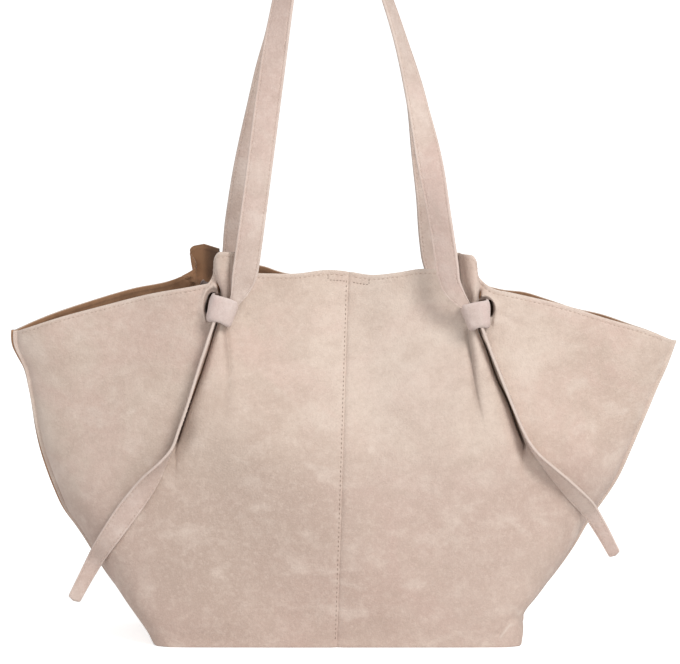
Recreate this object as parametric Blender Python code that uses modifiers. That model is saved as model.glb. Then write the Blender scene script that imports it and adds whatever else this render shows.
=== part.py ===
# Soft shopper bag: four leather panels on a flat base, a pleat on each panel cinched by a band,
# and two straps that run through the bands and end in loose tails.
# Metres, +Z up, the front faces -Y, the origin is on the floor under the middle of the bag.

import math

import bmesh
import bpy
import numpy as np
from mathutils import Matrix, Vector

# Body
wing_reach = 0.2504
left_wing_height = 0.2298
right_wing_height = 0.2229
mouth_height = 0.279
base_depth = 0.130
left_base_reach = 0.149
right_base_reach = 0.134
leather = 0.0018
seam_at_base = -0.0054
seam_at_mouth = 0.0034
clearance = 0.0003

# How far each side has flared from the base reach to the wing's, by level from base to wing tip
left_flare_shares = ((0, 0), (0.2, 0.31), (0.43, 0.625), (0.63, 0.82), (0.85, 0.89), (1, 1))
right_flare_shares = ((0, 0), (0.08, 0.02), (0.36, 0.42), (0.53, 0.63), (0.8, 0.86), (1, 1))
# How far the top edge has risen from the wing tip to the mouth, by place from seam to tip
left_rise_shares = ((0, 1), (0.25, 1.02), (0.42, 0.85), (0.72, 0.51), (1, 0))
right_rise_shares = ((0, 1), (0.07, 0.93), (0.23, 1.03), (0.43, 0.88), (0.68, 0.54), (1, 0))
# Half depth of the body by level, in shares of half the base depth
depth_shares = ((0, 1), (0.15, 1.03), (0.4, 0.92), (0.7, 0.74), (1, 0.62))
# How square the corners of a level are: a high share is a box, a low one a lens
corner_shares = ((0, 5), (0.12, 3.4), (0.3, 1.9), (0.6, 1.0), (1, 0.65))
knee_share = 0.92

# Closure, from the middle of the mouth outwards
magnet_width = 0.018
magnet_thickness = 0.0032
magnet_drop = 0.025
tab_width = 0.031
tab_length = 0.045
tab_drop = 0.002
tab_thickness = 0.0016
closing_reach = 0.085
closing_level_share = 0.5

# Seam tapes
tape_width = 0.014
tape_thickness = 0.0008
tape_ends_share = 0.1

# Base
base_thickness = 0.0018
board_thickness = 0.0025
board_inset = 0.004

# Pleats and bands
left_knot_reach = 0.093
right_knot_reach = 0.101
left_knot_drop = 0.0204
right_knot_drop = 0.0223
back_knot_shift = -0.010
pleat_height = 0.008
pleat_half_width = 0.0095
pleat_fade = 0.110
pleat_base_share = 0.5
pleat_level_share = 0.5
ear_height = 0.022
ear_half_width = 0.013
ear_level_share = 0.8
back_ear_shares = {"left": 1, "right": 0.3}
band_height = 0.020
band_thickness = 0.0015
band_inner_width = 0.020
band_corner = 0.0025
knot_tilt_degrees = 13
slit_overrun = 0.004

# Straps
strap_width = 0.0195
strap_thickness = 0.0024
strap_gathered_width = 0.013
strap_root_shift = 0.019
strap_stub = 0.001
hinge_rise = 0.006
handle_drop = 0.272
handle_sway = 0.016
handle_straight_share = 0.75

# Tails
left_tail_drop = 0.206
left_tail_reach = 0.106
right_tail_drop = 0.172
right_tail_reach = 0.102
back_tail_reach_share = 0.55
tail_width = 0.016
tail_tip_width = 0.010
tail_start = 0.004
tail_clearance = 0.0006
tail_turn_degrees = 68
# Sideways travel by drop, and how far the tail is turned edge-on by drop
tail_path_shares = ((0, 0), (0.2, 0.17), (0.45, 0.36), (0.72, 0.66), (1, 1))
tail_turn_shares = ((0, 0), (0.16, 1), (0.38, 1), (0.56, 0), (1, 0))
tail_wide_share = 0.15
tail_taper_share = 0.6

# Mesh density
row_count = 14
inner_columns = 5
pleat_columns = 6
outer_columns = 8
side_columns = 5
tape_columns = 3
handle_steps = 48
tail_steps = 16
round_steps = 4
magnet_steps = 32
sharp_angle = math.radians(40)

left = {
    "name": "left",
    "sign": -1,
    "base_reach": left_base_reach,
    "wing_height": left_wing_height,
    "flare": left_flare_shares,
    "rise": left_rise_shares,
    "knot_reach": left_knot_reach,
    "knot_drop": left_knot_drop,
    "tail_drop": left_tail_drop,
    "tail_reach": left_tail_reach,
}
right = {
    "name": "right",
    "sign": 1,
    "base_reach": right_base_reach,
    "wing_height": right_wing_height,
    "flare": right_flare_shares,
    "rise": right_rise_shares,
    "knot_reach": right_knot_reach,
    "knot_drop": right_knot_drop,
    "tail_drop": right_tail_drop,
    "tail_reach": right_tail_reach,
}
front = {"name": "front", "sign": -1, "knot_shift": 0, "ears": {"left": 1, "right": 1}}
back = {"name": "back", "sign": 1, "knot_shift": back_knot_shift, "ears": back_ear_shares}
half_depth = base_depth / 2
foot = base_thickness + clearance
hinge_height = mouth_height + hinge_rise
# The magnet, its tab, the seam tape and the panel lie one on another outwards from the middle
tab_inner = clearance / 2 + magnet_thickness + clearance
tape_inner = tab_inner + tab_thickness + clearance
closed_half_depth = tape_inner + tape_thickness + clearance + leather
level_solve_rounds = 12


# Curves and blends

def curve_through(table, at):
    # A smooth curve through the table's points, read at the given places.
    places, values = np.array(table, float).T
    slopes = np.gradient(values, places)
    i = np.clip(np.searchsorted(places, at) - 1, 0, len(places) - 2)
    span = places[i + 1] - places[i]
    t = (at - places[i]) / span
    start = (2 * t**3 - 3 * t**2 + 1) * values[i] + (t**3 - 2 * t**2 + t) * span * slopes[i]
    end = (3 * t**2 - 2 * t**3) * values[i + 1] + (t**3 - t**2) * span * slopes[i + 1]
    return start + end


def ease(t):
    # Runs from 0 to 1 with a soft start and end.
    t = np.clip(t, 0, 1)
    return t * t * (3 - 2 * t)


def hump(offset, half_width):
    # 1 in the middle, falling softly to 0 at the half width.
    return np.cos(np.pi / 2 * np.clip(offset / half_width, -1, 1)) ** 2


def conic_partner(share, weight):
    # The depth share of a rounded corner at a width share. The corner is a conic, and it is
    # symmetric, so the same function turns a depth share into a width share.
    a = (2 - 2 * weight) * share - (1 - 2 * weight)
    b = (2 * weight - 2) * share - 2 * weight
    root = np.sqrt(np.maximum(b * b - 4 * a * share, 0))
    q = 2 * share / (root - b)
    full = (1 - q) ** 2 + 2 * weight * q * (1 - q)
    return full / (1 + (2 * weight - 2) * q + (2 - 2 * weight) * q * q)


# Body surface

def edge_x(side, level):
    flared = (wing_reach - side["base_reach"]) * curve_through(side["flare"], level)
    return side["sign"] * (side["base_reach"] + flared)


def seam_x(level):
    return seam_at_base + (seam_at_mouth - seam_at_base) * level


def top_height(side, share):
    rise = mouth_height - side["wing_height"]
    return side["wing_height"] + rise * curve_through(side["rise"], np.clip(share, 0, 1))


def knot_place(side, face):
    # The middle of the band, across and up. It hangs a set drop below the top edge.
    x = side["sign"] * side["knot_reach"] + face["knot_shift"]
    seam = side["sign"] * seam_at_mouth
    share = (side["knot_reach"] - seam) / (wing_reach - seam)
    return x, top_height(side, share) - side["knot_drop"]


def level_of(side, x, z):
    # The level from base to mouth, and the share from seam to side, of a point seen from the front.
    level = np.clip((z - foot) / (mouth_height - foot), 0, 1)
    for _ in range(level_solve_rounds):
        share = (x - seam_x(level)) / (edge_x(side, level) - seam_x(level))
        level = np.clip((z - foot) / (top_height(side, share) - foot), 0, 1)
    return level, np.clip(share, 0, 1)


def plain_depth(level, share, partner, x):
    # Half depth of the body without its pleat: drawn in at the mouth's middle by the closure.
    deep = half_depth * curve_through(depth_shares, level)
    closing = 1 - closed_half_depth / (half_depth * depth_shares[-1][1])
    closing = closing * ease((level - closing_level_share) / (1 - closing_level_share))
    return deep * partner * (1 - closing * hump(x - seam_at_mouth, closing_reach))


def pleat(side, face, x, z):
    # The pleat stands out by its full height from the ear to the band and fades below.
    knot_x, knot_z = knot_place(side, face)
    fade = 1 - ease((knot_z - band_height / 2 - z) / pleat_fade)
    return pleat_height * hump(x - knot_x, pleat_half_width) * fade


def panel_depth(side, face, x, z, with_pleat=True):
    level, share = level_of(side, x, z)
    partner = conic_partner(share, curve_through(corner_shares, level))
    depth = plain_depth(level, share, partner, x)
    if with_pleat:
        depth = depth + pleat(side, face, x, z)
    return depth


def pleat_column(side, face, level):
    # The middle of the pleat's columns: a share of the width at the base, and under the knot
    # from the pleat's foot upwards.
    seam = seam_x(level)
    low = seam + (edge_x(side, level) - seam) * pleat_base_share
    return low + (knot_place(side, face)[0] - low) * ease(level / pleat_level_share)


def panel_grid(side, face):
    # Rows run from the base to the mouth and columns from the centre seam to the side seam.
    knot_x = knot_place(side, face)[0]
    rows = []
    for level in np.linspace(0, 1, row_count + 1):
        seam = seam_x(level)
        edge = edge_x(side, level)
        weight = curve_through(corner_shares, level)
        middle = pleat_column(side, face, level)
        stops = (
            seam + side["sign"] * clearance / 2,
            middle - side["sign"] * pleat_half_width,
            middle + side["sign"] * pleat_half_width,
            seam + (edge - seam) * knee_share,
        )
        counts = (inner_columns, pleat_columns, outer_columns)
        pieces = [np.linspace(a, b, n, endpoint=False) for a, b, n in zip(stops, stops[1:], counts)]
        x = np.append(np.concatenate(pieces), stops[-1])
        share = (x - seam) / (edge - seam)
        height = top_height(side, share) - foot
        lift = ear_height * face["ears"][side["name"]] * hump(x - knot_x, ear_half_width)
        z = foot + height * level + lift * ease((level - ear_level_share) / (1 - ear_level_share))
        y = panel_depth(side, face, x, z)
        around = conic_partner(knee_share, weight) * np.linspace(1, 0, side_columns + 1)[1:]
        share = conic_partner(around, weight)
        # The last strip is square to the seam, so front and back meet face to face.
        share[-2] = share[-1]
        side_x = seam + (edge - seam) * share
        side_z = foot + (top_height(side, share) - foot) * level
        side_y = np.maximum(plain_depth(level, share, around, side_x), clearance / 2)
        row = np.stack([np.append(x, side_x), np.append(y, side_y), np.append(z, side_z)], axis=1)
        rows.append(row)
    grid = np.array(rows)
    grid[..., 1] *= face["sign"]
    return grid


def inset_grid(grid, distance, outward):
    # The grid moved inwards, square to itself.
    normal = np.cross(np.gradient(grid, axis=0), np.gradient(grid, axis=1))
    normal /= np.linalg.norm(normal, axis=2, keepdims=True)
    side = np.sign(np.sum(normal * np.array(outward), axis=2, keepdims=True))
    return grid - normal * side * distance


# Scene and mesh helpers

def clear_scene():
    for item in list(bpy.data.objects):
        bpy.data.objects.remove(item, do_unlink=True)


def new_collection(name):
    collection = bpy.data.collections.new(name)
    bpy.context.scene.collection.children.link(collection)
    return collection


def material(name, colour, roughness, metallic):
    made = bpy.data.materials.new(name)
    made.use_nodes = True
    shader = made.node_tree.nodes["Principled BSDF"]
    shader.inputs["Base Color"].default_value = (*colour, 1)
    shader.inputs["Roughness"].default_value = roughness
    shader.inputs["Metallic"].default_value = metallic
    return made


suede = (0.610, 0.445, 0.381)
suede_dark = (0.420, 0.290, 0.235)
board_grey = (0.130, 0.115, 0.100)
steel = (0.620, 0.610, 0.590)


def leather_of(name, colour=suede):
    return material(name, colour, 0.9, 0.0)


def put(mesh, name, collection, look, origin=(0, 0, 0)):
    # The mesh comes in world places, and the object's own origin goes to the given point.
    mesh.transform(Matrix.Translation(-Vector(origin)))
    mesh.shade_smooth()
    mesh.set_sharp_from_angle(angle=sharp_angle)
    made = bpy.data.objects.new(name, mesh)
    made.location = origin
    made.data.materials.append(look)
    collection.objects.link(made)
    return made


def mesh_of_grid(name, grid, outward, closed=False):
    # Quads between neighbouring points, turned so that the grid faces outward.
    rows, columns = grid.shape[:2]
    index = np.arange(rows * columns).reshape(rows, columns)
    if closed:
        index = np.concatenate([index, index[:, :1]], axis=1)
    quads = np.stack([index[:-1, :-1], index[:-1, 1:], index[1:, 1:], index[1:, :-1]], axis=-1)
    quads = quads.reshape(-1, 4)
    points = grid.reshape(-1, 3)
    first = points[quads[:, 1]] - points[quads[:, 0]]
    second = points[quads[:, 3]] - points[quads[:, 0]]
    if np.sum(np.cross(first, second) * np.array(outward)) < 0:
        quads = quads[:, ::-1]
    mesh = bpy.data.meshes.new(name)
    mesh.from_pydata(points.tolist(), [], quads.tolist())
    return mesh


def sheet(name, grid, outward, thickness, collection, look, origin=(0, 0, 0), offset=-1, closed=False):
    # A sheet of leather: an open surface with its thickness inwards, or to both sides.
    made = put(mesh_of_grid(name, grid, outward, closed), name, collection, look, origin)
    solid = made.modifiers.new("Thickness", "SOLIDIFY")
    solid.thickness = thickness
    solid.offset = offset
    solid.use_even_offset = True
    return made


def report_hinge(name, place, axis):
    print(name, "hinge at", np.round(place, 6).tolist(), "axis", np.round(axis, 6).tolist())


def ribbon(name, centres, across, widths, outward, collection, look, origin=(0, 0, 0)):
    # A strap along its centres, as wide as given, with the strap's thickness to both sides.
    half = across * np.reshape(widths, (-1, 1)) / 2
    grid = np.stack([centres - half, centres + half], axis=1)
    return sheet(name, grid, outward, strap_thickness, collection, look, origin, offset=0)


def plate(name, outline, bottom, thickness, collection, look):
    # A flat outline with the given thickness, standing at the given height.
    curve = bpy.data.curves.new(name, "CURVE")
    curve.dimensions = "2D"
    curve.fill_mode = "BOTH"
    curve.extrude = thickness / 2
    spline = curve.splines.new("POLY")
    spline.points.add(len(outline) - 1)
    spline.points.foreach_set("co", np.pad(outline, ((0, 0), (0, 2))).ravel())
    spline.use_cyclic_u = True
    made = bpy.data.objects.new(name, curve)
    made.location = (0, 0, bottom + thickness / 2)
    curve.materials.append(look)
    collection.objects.link(made)
    return made


def block(name, size, centre, collection, look, turn=0):
    # A box turned about the Y axis.
    body = bmesh.new()
    bmesh.ops.create_cube(body, size=1)
    bmesh.ops.scale(body, vec=size, verts=body.verts)
    mesh = bpy.data.meshes.new(name)
    body.to_mesh(mesh)
    body.free()
    mesh.transform(Matrix.Translation(centre) @ Matrix.Rotation(turn, 4, "Y"))
    return put(mesh, name, collection, look, centre)


def disc(name, width, thickness, centre, collection, look):
    # A round plate with its axis along Y.
    body = bmesh.new()
    radius = width / 2
    bmesh.ops.create_cone(
        body, cap_ends=True, segments=magnet_steps, radius1=radius, radius2=radius, depth=thickness
    )
    mesh = bpy.data.meshes.new(name)
    body.to_mesh(mesh)
    body.free()
    mesh.transform(Matrix.Translation(centre) @ Matrix.Rotation(math.pi / 2, 4, "X"))
    return put(mesh, name, collection, look, centre)


# Base

def base_outline(inset):
    # The foot of the four panels, run round once and drawn in by the inset.
    runs = [
        panel_grid(left, front)[0][::-1],
        panel_grid(right, front)[0],
        panel_grid(right, back)[0][::-1],
        panel_grid(left, back)[0],
    ]
    ring = np.concatenate([run[:-1, :2] for run in runs])
    along = np.roll(ring, -1, axis=0) - np.roll(ring, 1, axis=0)
    along /= np.linalg.norm(along, axis=1, keepdims=True)
    inwards = np.stack([-along[:, 1], along[:, 0]], axis=1)
    return ring + inwards * inset


def make_base(parts):
    plate("base_panel", base_outline(0), 0, base_thickness, parts, leather_of("base_panel"))
    grey = material("base_board", board_grey, 0.8, 0.0)
    plate("base_board", base_outline(board_inset), foot, board_thickness, parts, grey)


# Panels and tapes

def make_panel(side, face, parts, cutters):
    name = f"{face['name']}_{side['name']}_panel"
    outward = (0, face["sign"], 0)
    panel = sheet(name, panel_grid(side, face), outward, leather, parts, leather_of(name))
    for cutter in make_slits(side, face, cutters):
        cut = panel.modifiers.new("Slit", "BOOLEAN")
        cut.object = cutter
        cut.operation = "DIFFERENCE"
        cut.solver = "EXACT"


def walk(row, distances):
    # Points at the given distances from the row's first point, along its straight pieces.
    run = np.cumsum(np.linalg.norm(np.diff(row, axis=0, prepend=row[:1]), axis=1))
    return np.stack([np.interp(distances, run, row[:, axis]) for axis in range(3)], axis=1)


def tape_grid(first, second, outward):
    # A strip behind two panels that meet at their first columns.
    reach = np.linspace(0, tape_width / 2, tape_columns + 1)
    rows = [np.concatenate([walk(a, reach)[:0:-1], walk(b, reach)]) for a, b in zip(first, second)]
    grid = np.array(rows)
    grid[0] += (grid[1] - grid[0]) * tape_ends_share
    grid[-1] += (grid[-2] - grid[-1]) * tape_ends_share
    return inset_grid(grid, leather + clearance, outward)


def make_centre_tape(face, parts):
    outward = (0, face["sign"], 0)
    grid = tape_grid(panel_grid(left, face), panel_grid(right, face), outward)
    name = f"{face['name']}_centre_seam_tape"
    sheet(name, grid, outward, tape_thickness, parts, leather_of(name, suede_dark))


def make_side_tape(side, parts):
    outward = (side["sign"], 0, 0)
    grid = tape_grid(panel_grid(side, front)[:, ::-1], panel_grid(side, back)[:, ::-1], outward)
    name = f"{side['name']}_side_seam_tape"
    sheet(name, grid, outward, tape_thickness, parts, leather_of(name, suede_dark))


# Closure

def make_closure(face, parts):
    name = face["name"]
    top = mouth_height - tab_drop
    tab_y = face["sign"] * (tab_inner + tab_thickness / 2)
    size = (tab_width, tab_thickness, tab_length)
    centre = (seam_at_mouth, tab_y, top - tab_length / 2)
    look = leather_of(f"{name}_magnet_tab", suede_dark)
    block(f"{name}_magnet_tab", size, centre, parts, look)
    magnet_y = face["sign"] * (clearance + magnet_thickness) / 2
    centre = (seam_at_mouth, magnet_y, top - magnet_drop)
    look = material(f"{name}_magnet", steel, 0.35, 1.0)
    disc(f"{name}_magnet", magnet_width, magnet_thickness, centre, parts, look)


# Knots: the band, the slits that it runs through, and the strap end that it holds

def knot_axes(side):
    # The band leans so that its upper end is nearer the middle of the bag.
    turn = -side["sign"] * math.radians(knot_tilt_degrees)
    across = np.array([math.cos(turn), 0, -math.sin(turn)])
    upward = np.array([math.sin(turn), 0, math.cos(turn)])
    return turn, across, upward


def knot_depths(side, face):
    # The crest of the pleat down to the tail's root, and the lowest panel beside the band.
    x, z = knot_place(side, face)
    wide = x + (band_inner_width / 2 + band_thickness) * np.linspace(-1, 1, 9)[:, None]
    high = z + np.linspace(-band_height / 2 - 2 * tail_start, band_height / 2, 9)
    crest = panel_depth(side, face, wide, high).max()
    lowest = panel_depth(side, face, wide, high, with_pleat=False).min()
    return crest, lowest


def strap_depth():
    # One plane carries all strap ends, in front of the highest pleat.
    crests = [knot_depths(side, face)[0] for side in (left, right) for face in (front, back)]
    return max(crests) + clearance + strap_thickness / 2


def band_depths(side, face):
    # The inner faces of the band's outer and inner ply.
    outer = strap_depth() + strap_thickness / 2 + clearance
    inner = knot_depths(side, face)[1] - leather - clearance
    return outer, inner


def make_slits(side, face, cutters):
    turn, across, upward = knot_axes(side)
    x, z = knot_place(side, face)
    crest, lowest = knot_depths(side, face)
    reach = crest - lowest + leather + 2 * slit_overrun
    middle_y = face["sign"] * (crest + lowest - leather) / 2
    size = (band_thickness + 2 * clearance, reach, band_height + 2 * clearance)
    made = []
    for hand in (-1, 1):
        offset = across * hand * (band_inner_width + band_thickness) / 2
        centre = (x + offset[0], middle_y, z + offset[2])
        name = f"{face['name']}_{side['name']}_slit_{'outer' if hand * side['sign'] > 0 else 'inner'}"
        cutter = block(name, size, centre, cutters, leather_of(name), turn)
        cutter.hide_render = True
        cutter.display_type = "WIRE"
        made.append(cutter)
    return made


def make_band(side, face, parts):
    turn, across, upward = knot_axes(side)
    x, z = knot_place(side, face)
    outer, inner = band_depths(side, face)
    half_width = band_inner_width / 2 + band_thickness
    half_deep = (outer - inner) / 2 + band_thickness
    quarter = np.radians(np.linspace(0, 90, round_steps + 1))
    arc = []
    for start, sx, sy in ((0, 1, 1), (90, -1, 1), (180, -1, -1), (270, 1, -1)):
        angle = quarter + math.radians(start)
        arc_x = sx * (half_width - band_corner) + band_corner * np.cos(angle)
        arc_y = sy * (half_deep - band_corner) + band_corner * np.sin(angle)
        arc.append(np.stack([arc_x, arc_y], axis=1))
    ring = np.concatenate(arc)
    middle = np.array([x, face["sign"] * (outer + inner) / 2, z])
    flat = middle + ring[:, :1] * across + ring[:, 1:] * np.array([0, 1, 0])
    ends = [flat - upward * band_height / 2, flat + upward * band_height / 2]
    grid = np.stack(ends)
    name = f"{face['name']}_{side['name']}_band"
    sheet(name, grid, (0, 0, 0), band_thickness, parts, leather_of(name), closed=True)


def strap_points(side, face):
    # Hinge, top of the band, bottom of the band and tail root, down the middle of the strap.
    turn, across, upward = knot_axes(side)
    x, z = knot_place(side, face)
    y = face["sign"] * strap_depth()
    middle = np.array([x, y, z])
    hinge = np.array([x - side["sign"] * strap_root_shift, y, hinge_height])
    top = middle + upward * (band_height / 2 + strap_stub)
    bottom = middle - upward * (band_height / 2 + strap_stub)
    root = bottom + tail_direction(side, face) * tail_start
    return hinge, top, bottom, root


def tail_sizes(side, face):
    reach = side["tail_reach"]
    if face is back:
        reach = reach * back_tail_reach_share
    return reach, side["tail_drop"]


def tail_direction(side, face):
    reach, drop = tail_sizes(side, face)
    place, travel = tail_path_shares[1]
    direction = np.array([side["sign"] * reach * travel, 0, -drop * place])
    return direction / np.linalg.norm(direction)


def make_strap_end(side, face, parts):
    across = knot_axes(side)[1]
    direction = tail_direction(side, face)
    root_across = np.array([-direction[2], 0, direction[0]])
    hinge, top, bottom, root = strap_points(side, face)
    hinge = hinge - np.array([0, 0, clearance])
    centres = np.array([hinge, top, bottom, root])
    facing = np.array([[1, 0, 0], across, across, root_across])
    widths = [strap_width, strap_gathered_width, strap_gathered_width, strap_gathered_width]
    name = f"{face['name']}_{side['name']}_strap_end"
    ribbon(name, centres, facing, widths, (0, face["sign"], 0), parts, leather_of(name))


# Tails

def tail_lift(side, face, centres, facing, widths):
    # How much further out the tail has to run than the strap so that it clears the panel.
    outward = np.array([0, face["sign"], 0])
    need = []
    for share in np.linspace(-0.5, 0.5, 5):
        points = centres + facing * (share * widths)[:, None]
        under = panel_depth(side, face, points[:, 0], points[:, 2])
        need.append(under + tail_clearance + strap_thickness / 2 - points @ outward)
    return max(0, np.max(need))


def make_tail(side, face, parts):
    outward = np.array([0, face["sign"], 0])
    direction = tail_direction(side, face)
    root = strap_points(side, face)[3]
    reach, drop = tail_sizes(side, face)
    place = np.linspace(0, 1, tail_steps + 1)
    x = root[0] + side["sign"] * reach * curve_through(tail_path_shares, place)
    z = root[2] - drop * place
    centres = np.stack([x, root[1] + 0 * x, z], axis=1) + direction * 2 * clearance
    along = np.gradient(centres, axis=0)
    along[0] = direction
    along /= np.linalg.norm(along, axis=1, keepdims=True)
    flat = np.stack([-along[:, 2], 0 * x, along[:, 0]], axis=1)
    turn = np.radians(tail_turn_degrees) * curve_through(tail_turn_shares, place)[:, None]
    facing = flat * np.cos(turn) - side["sign"] * outward * np.sin(turn)
    spread = ease(place / tail_wide_share)
    widths = strap_gathered_width + (tail_width - strap_gathered_width) * spread
    taper = ease((place - tail_taper_share) / (1 - tail_taper_share))
    widths = widths + (tail_tip_width - tail_width) * taper
    lift = tail_lift(side, face, centres, facing, widths)
    centres = centres + outward * (lift * spread)[:, None]
    hinge = root + outward * (strap_thickness / 2 + clearance)
    name = f"{face['name']}_{side['name']}_tail"
    ribbon(name, centres, facing, widths, outward, parts, leather_of(name), hinge)
    report_hinge(name, hinge, np.cross(direction, outward))


# Handles

def make_handle(face, parts):
    roots = [strap_points(side, face)[0] for side in (left, right)]
    middle = (roots[0] + roots[1]) / 2
    half = (roots[1][0] - roots[0][0]) / 2
    place = np.linspace(-1, 1, handle_steps + 1)
    rise = 1 - place**2
    x = middle[0] + half * place - handle_sway * rise**2
    z = hinge_height + clearance + handle_drop * rise
    top_y = strap_width / 2 + clearance
    y = face["sign"] * (strap_depth() + (top_y - strap_depth()) * rise)
    centres = np.stack([x, y, z], axis=1)
    along = np.gradient(centres, axis=0)
    along /= np.linalg.norm(along, axis=1, keepdims=True)
    flat = np.stack([-along[:, 2], 0 * x, along[:, 0]], axis=1)
    flat /= np.linalg.norm(flat, axis=1, keepdims=True)
    turn = np.pi / 2 * (1 - ease(np.abs(place) / handle_straight_share))[:, None]
    facing = flat * np.cos(turn) + np.array([0, 1, 0]) * np.sin(turn)
    facing[0] = (-1, 0, 0)
    facing[-1] = (1, 0, 0)
    hinge_y = face["sign"] * (strap_depth() + strap_thickness / 2 + clearance)
    hinge = np.array([middle[0], hinge_y, hinge_height])
    name = f"{face['name']}_handle"
    widths = np.full(len(place), strap_width)
    ribbon(name, centres, facing, widths, (0, 0, 1), parts, leather_of(name), hinge)
    report_hinge(name, hinge, np.array([-face["sign"], 0, 0]))


def build():
    clear_scene()
    parts = new_collection("shopper_bag")
    cutters = new_collection("cutters")
    make_base(parts)
    for side in (left, right):
        make_side_tape(side, parts)
    for face in (front, back):
        make_centre_tape(face, parts)
        make_closure(face, parts)
        make_handle(face, parts)
        for side in (left, right):
            make_panel(side, face, parts, cutters)
            make_band(side, face, parts)
            make_strap_end(side, face, parts)
            make_tail(side, face, parts)


build()
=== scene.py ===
# Soft suede shopper bag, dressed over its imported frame.
# Metres, +Z up, the front faces -Y, and the origin is on the floor under the middle of the bag.
import math

import bpy
import numpy as np
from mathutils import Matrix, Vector


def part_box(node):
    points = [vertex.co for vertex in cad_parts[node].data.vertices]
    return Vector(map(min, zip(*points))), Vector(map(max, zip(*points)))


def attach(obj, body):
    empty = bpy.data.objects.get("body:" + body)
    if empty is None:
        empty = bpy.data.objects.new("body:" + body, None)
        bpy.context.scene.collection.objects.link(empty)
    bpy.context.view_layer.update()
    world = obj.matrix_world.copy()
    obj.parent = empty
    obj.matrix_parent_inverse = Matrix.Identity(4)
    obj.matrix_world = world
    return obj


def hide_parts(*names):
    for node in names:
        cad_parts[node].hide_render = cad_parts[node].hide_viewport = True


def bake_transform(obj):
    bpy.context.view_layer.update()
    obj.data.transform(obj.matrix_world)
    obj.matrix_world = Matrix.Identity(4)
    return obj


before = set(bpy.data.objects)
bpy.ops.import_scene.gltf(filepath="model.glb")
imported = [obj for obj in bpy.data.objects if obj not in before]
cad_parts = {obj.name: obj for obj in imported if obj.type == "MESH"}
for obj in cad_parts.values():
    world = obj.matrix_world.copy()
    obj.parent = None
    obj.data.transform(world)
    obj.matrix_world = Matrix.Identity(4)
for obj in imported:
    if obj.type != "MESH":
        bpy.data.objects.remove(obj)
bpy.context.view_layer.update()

# The four leather panels. The shares run from the base to the mouth, or from the centre seam to the wing tip.
body = {
    "wingReach": 0.2504,
    "mouthHeight": 0.279,
    "halfDepth": 0.065,
    "foot": 0.0021,
    "hem": 0.0004,
    "leather": 0.0018,
    "seamAtBase": -0.0054,
    "seamAtMouth": 0.0034,
    "closedDepth": 0.00845,
    "closingReach": 0.098,
    "closingLevel": 0.5,
    "kneeShare": 0.92,
    "flange": 0.0024,
    "flangeAtFoot": 0.12,
    "flangeReach": 0.12,
    "rimBulge": 0.00045,
    "seamGroove": 0.0009,
    "seamGrooveWidth": 0.0024,
    "stitchGroove": 0.00022,
    "stitchGrooveWidth": 0.0009,
    "footFlare": 0.0008,
    "footWidth": 0.0035,
    "depthShares": ((0, 0.985), (0.15, 1.02), (0.38, 1.0), (0.55, 0.9), (0.75, 0.74), (1, 0.62)),
    "cornerShares": ((0, 11), (0.05, 7), (0.12, 3.8), (0.3, 1.8), (0.6, 0.75), (1, 0.5)),
    "tuckShares": ((0, 0), (0.25, 0), (0.42, 1), (0.6, 1), (0.74, 0.3), (0.84, 0.3), (0.92, 1.2), (1, 1.2)),
    "earLevel": 0.8,
    "tiltRound": 0.006,
    "tiltStart": 0.002,
    "reliefFrom": 0.3,
    "closingTip": 0.016,
    "insetLevel": 0.13,
    "insetShare": 0.6,
    "waveDepth": 0.0014,
    "flutterDepth": 0.0016,
    "flutterLength": 0.46,
    "seamGap": 0.0002,
    "columnsInside": 0.004,
    "closeColumns": 0.017,
    "columns": (32, 84, 44),
    "cornerColumns": 15,
    "edgeColumn": 138,
}
leftSide = {
    "name": "left",
    "sign": -1,
    "baseReach": 0.149,
    "wingHeight": 0.2298,
    "flareShares": (
        (0, 0.002), (0.036, 0.058), (0.206, 0.345), (0.275, 0.443), (0.34, 0.539), (0.408, 0.648),
        (0.475, 0.717), (0.54, 0.772), (0.61, 0.82), (0.677, 0.852), (0.761, 0.88), (0.812, 0.901),
        (0.879, 0.94), (0.91, 0.978), (0.946, 1.017), (0.979, 1.028), (1, 1.026),
    ),
    "footInset": 0.0050,
    "frontTopShares": (
        (0, 0.985), (0.057, 1.015), (0.162, 0.975), (0.24, 0.99), (0.30, 1.0), (0.35, 0.96),
        (0.422, 0.87), (0.59, 0.695), (0.721, 0.51), (0.916, 0.213), (1, 0.05),
    ),
    "backTopShares": (
        (0, 0.935), (0.14, 0.88), (0.2, 0.92), (0.26, 1.01), (0.34, 1.0), (0.42, 0.89), (0.485, 0.85),
        (0.53, 0.765), (0.655, 0.636), (0.784, 0.45), (0.916, 0.235), (1, 0.06),
    ),
    "frontTuck": 0.0014,
    "knotReach": 0.093,
    "knotHeight": 0.2534,
    "tailDrop": 0.206,
    "tailReach": 0.106,
}
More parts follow.
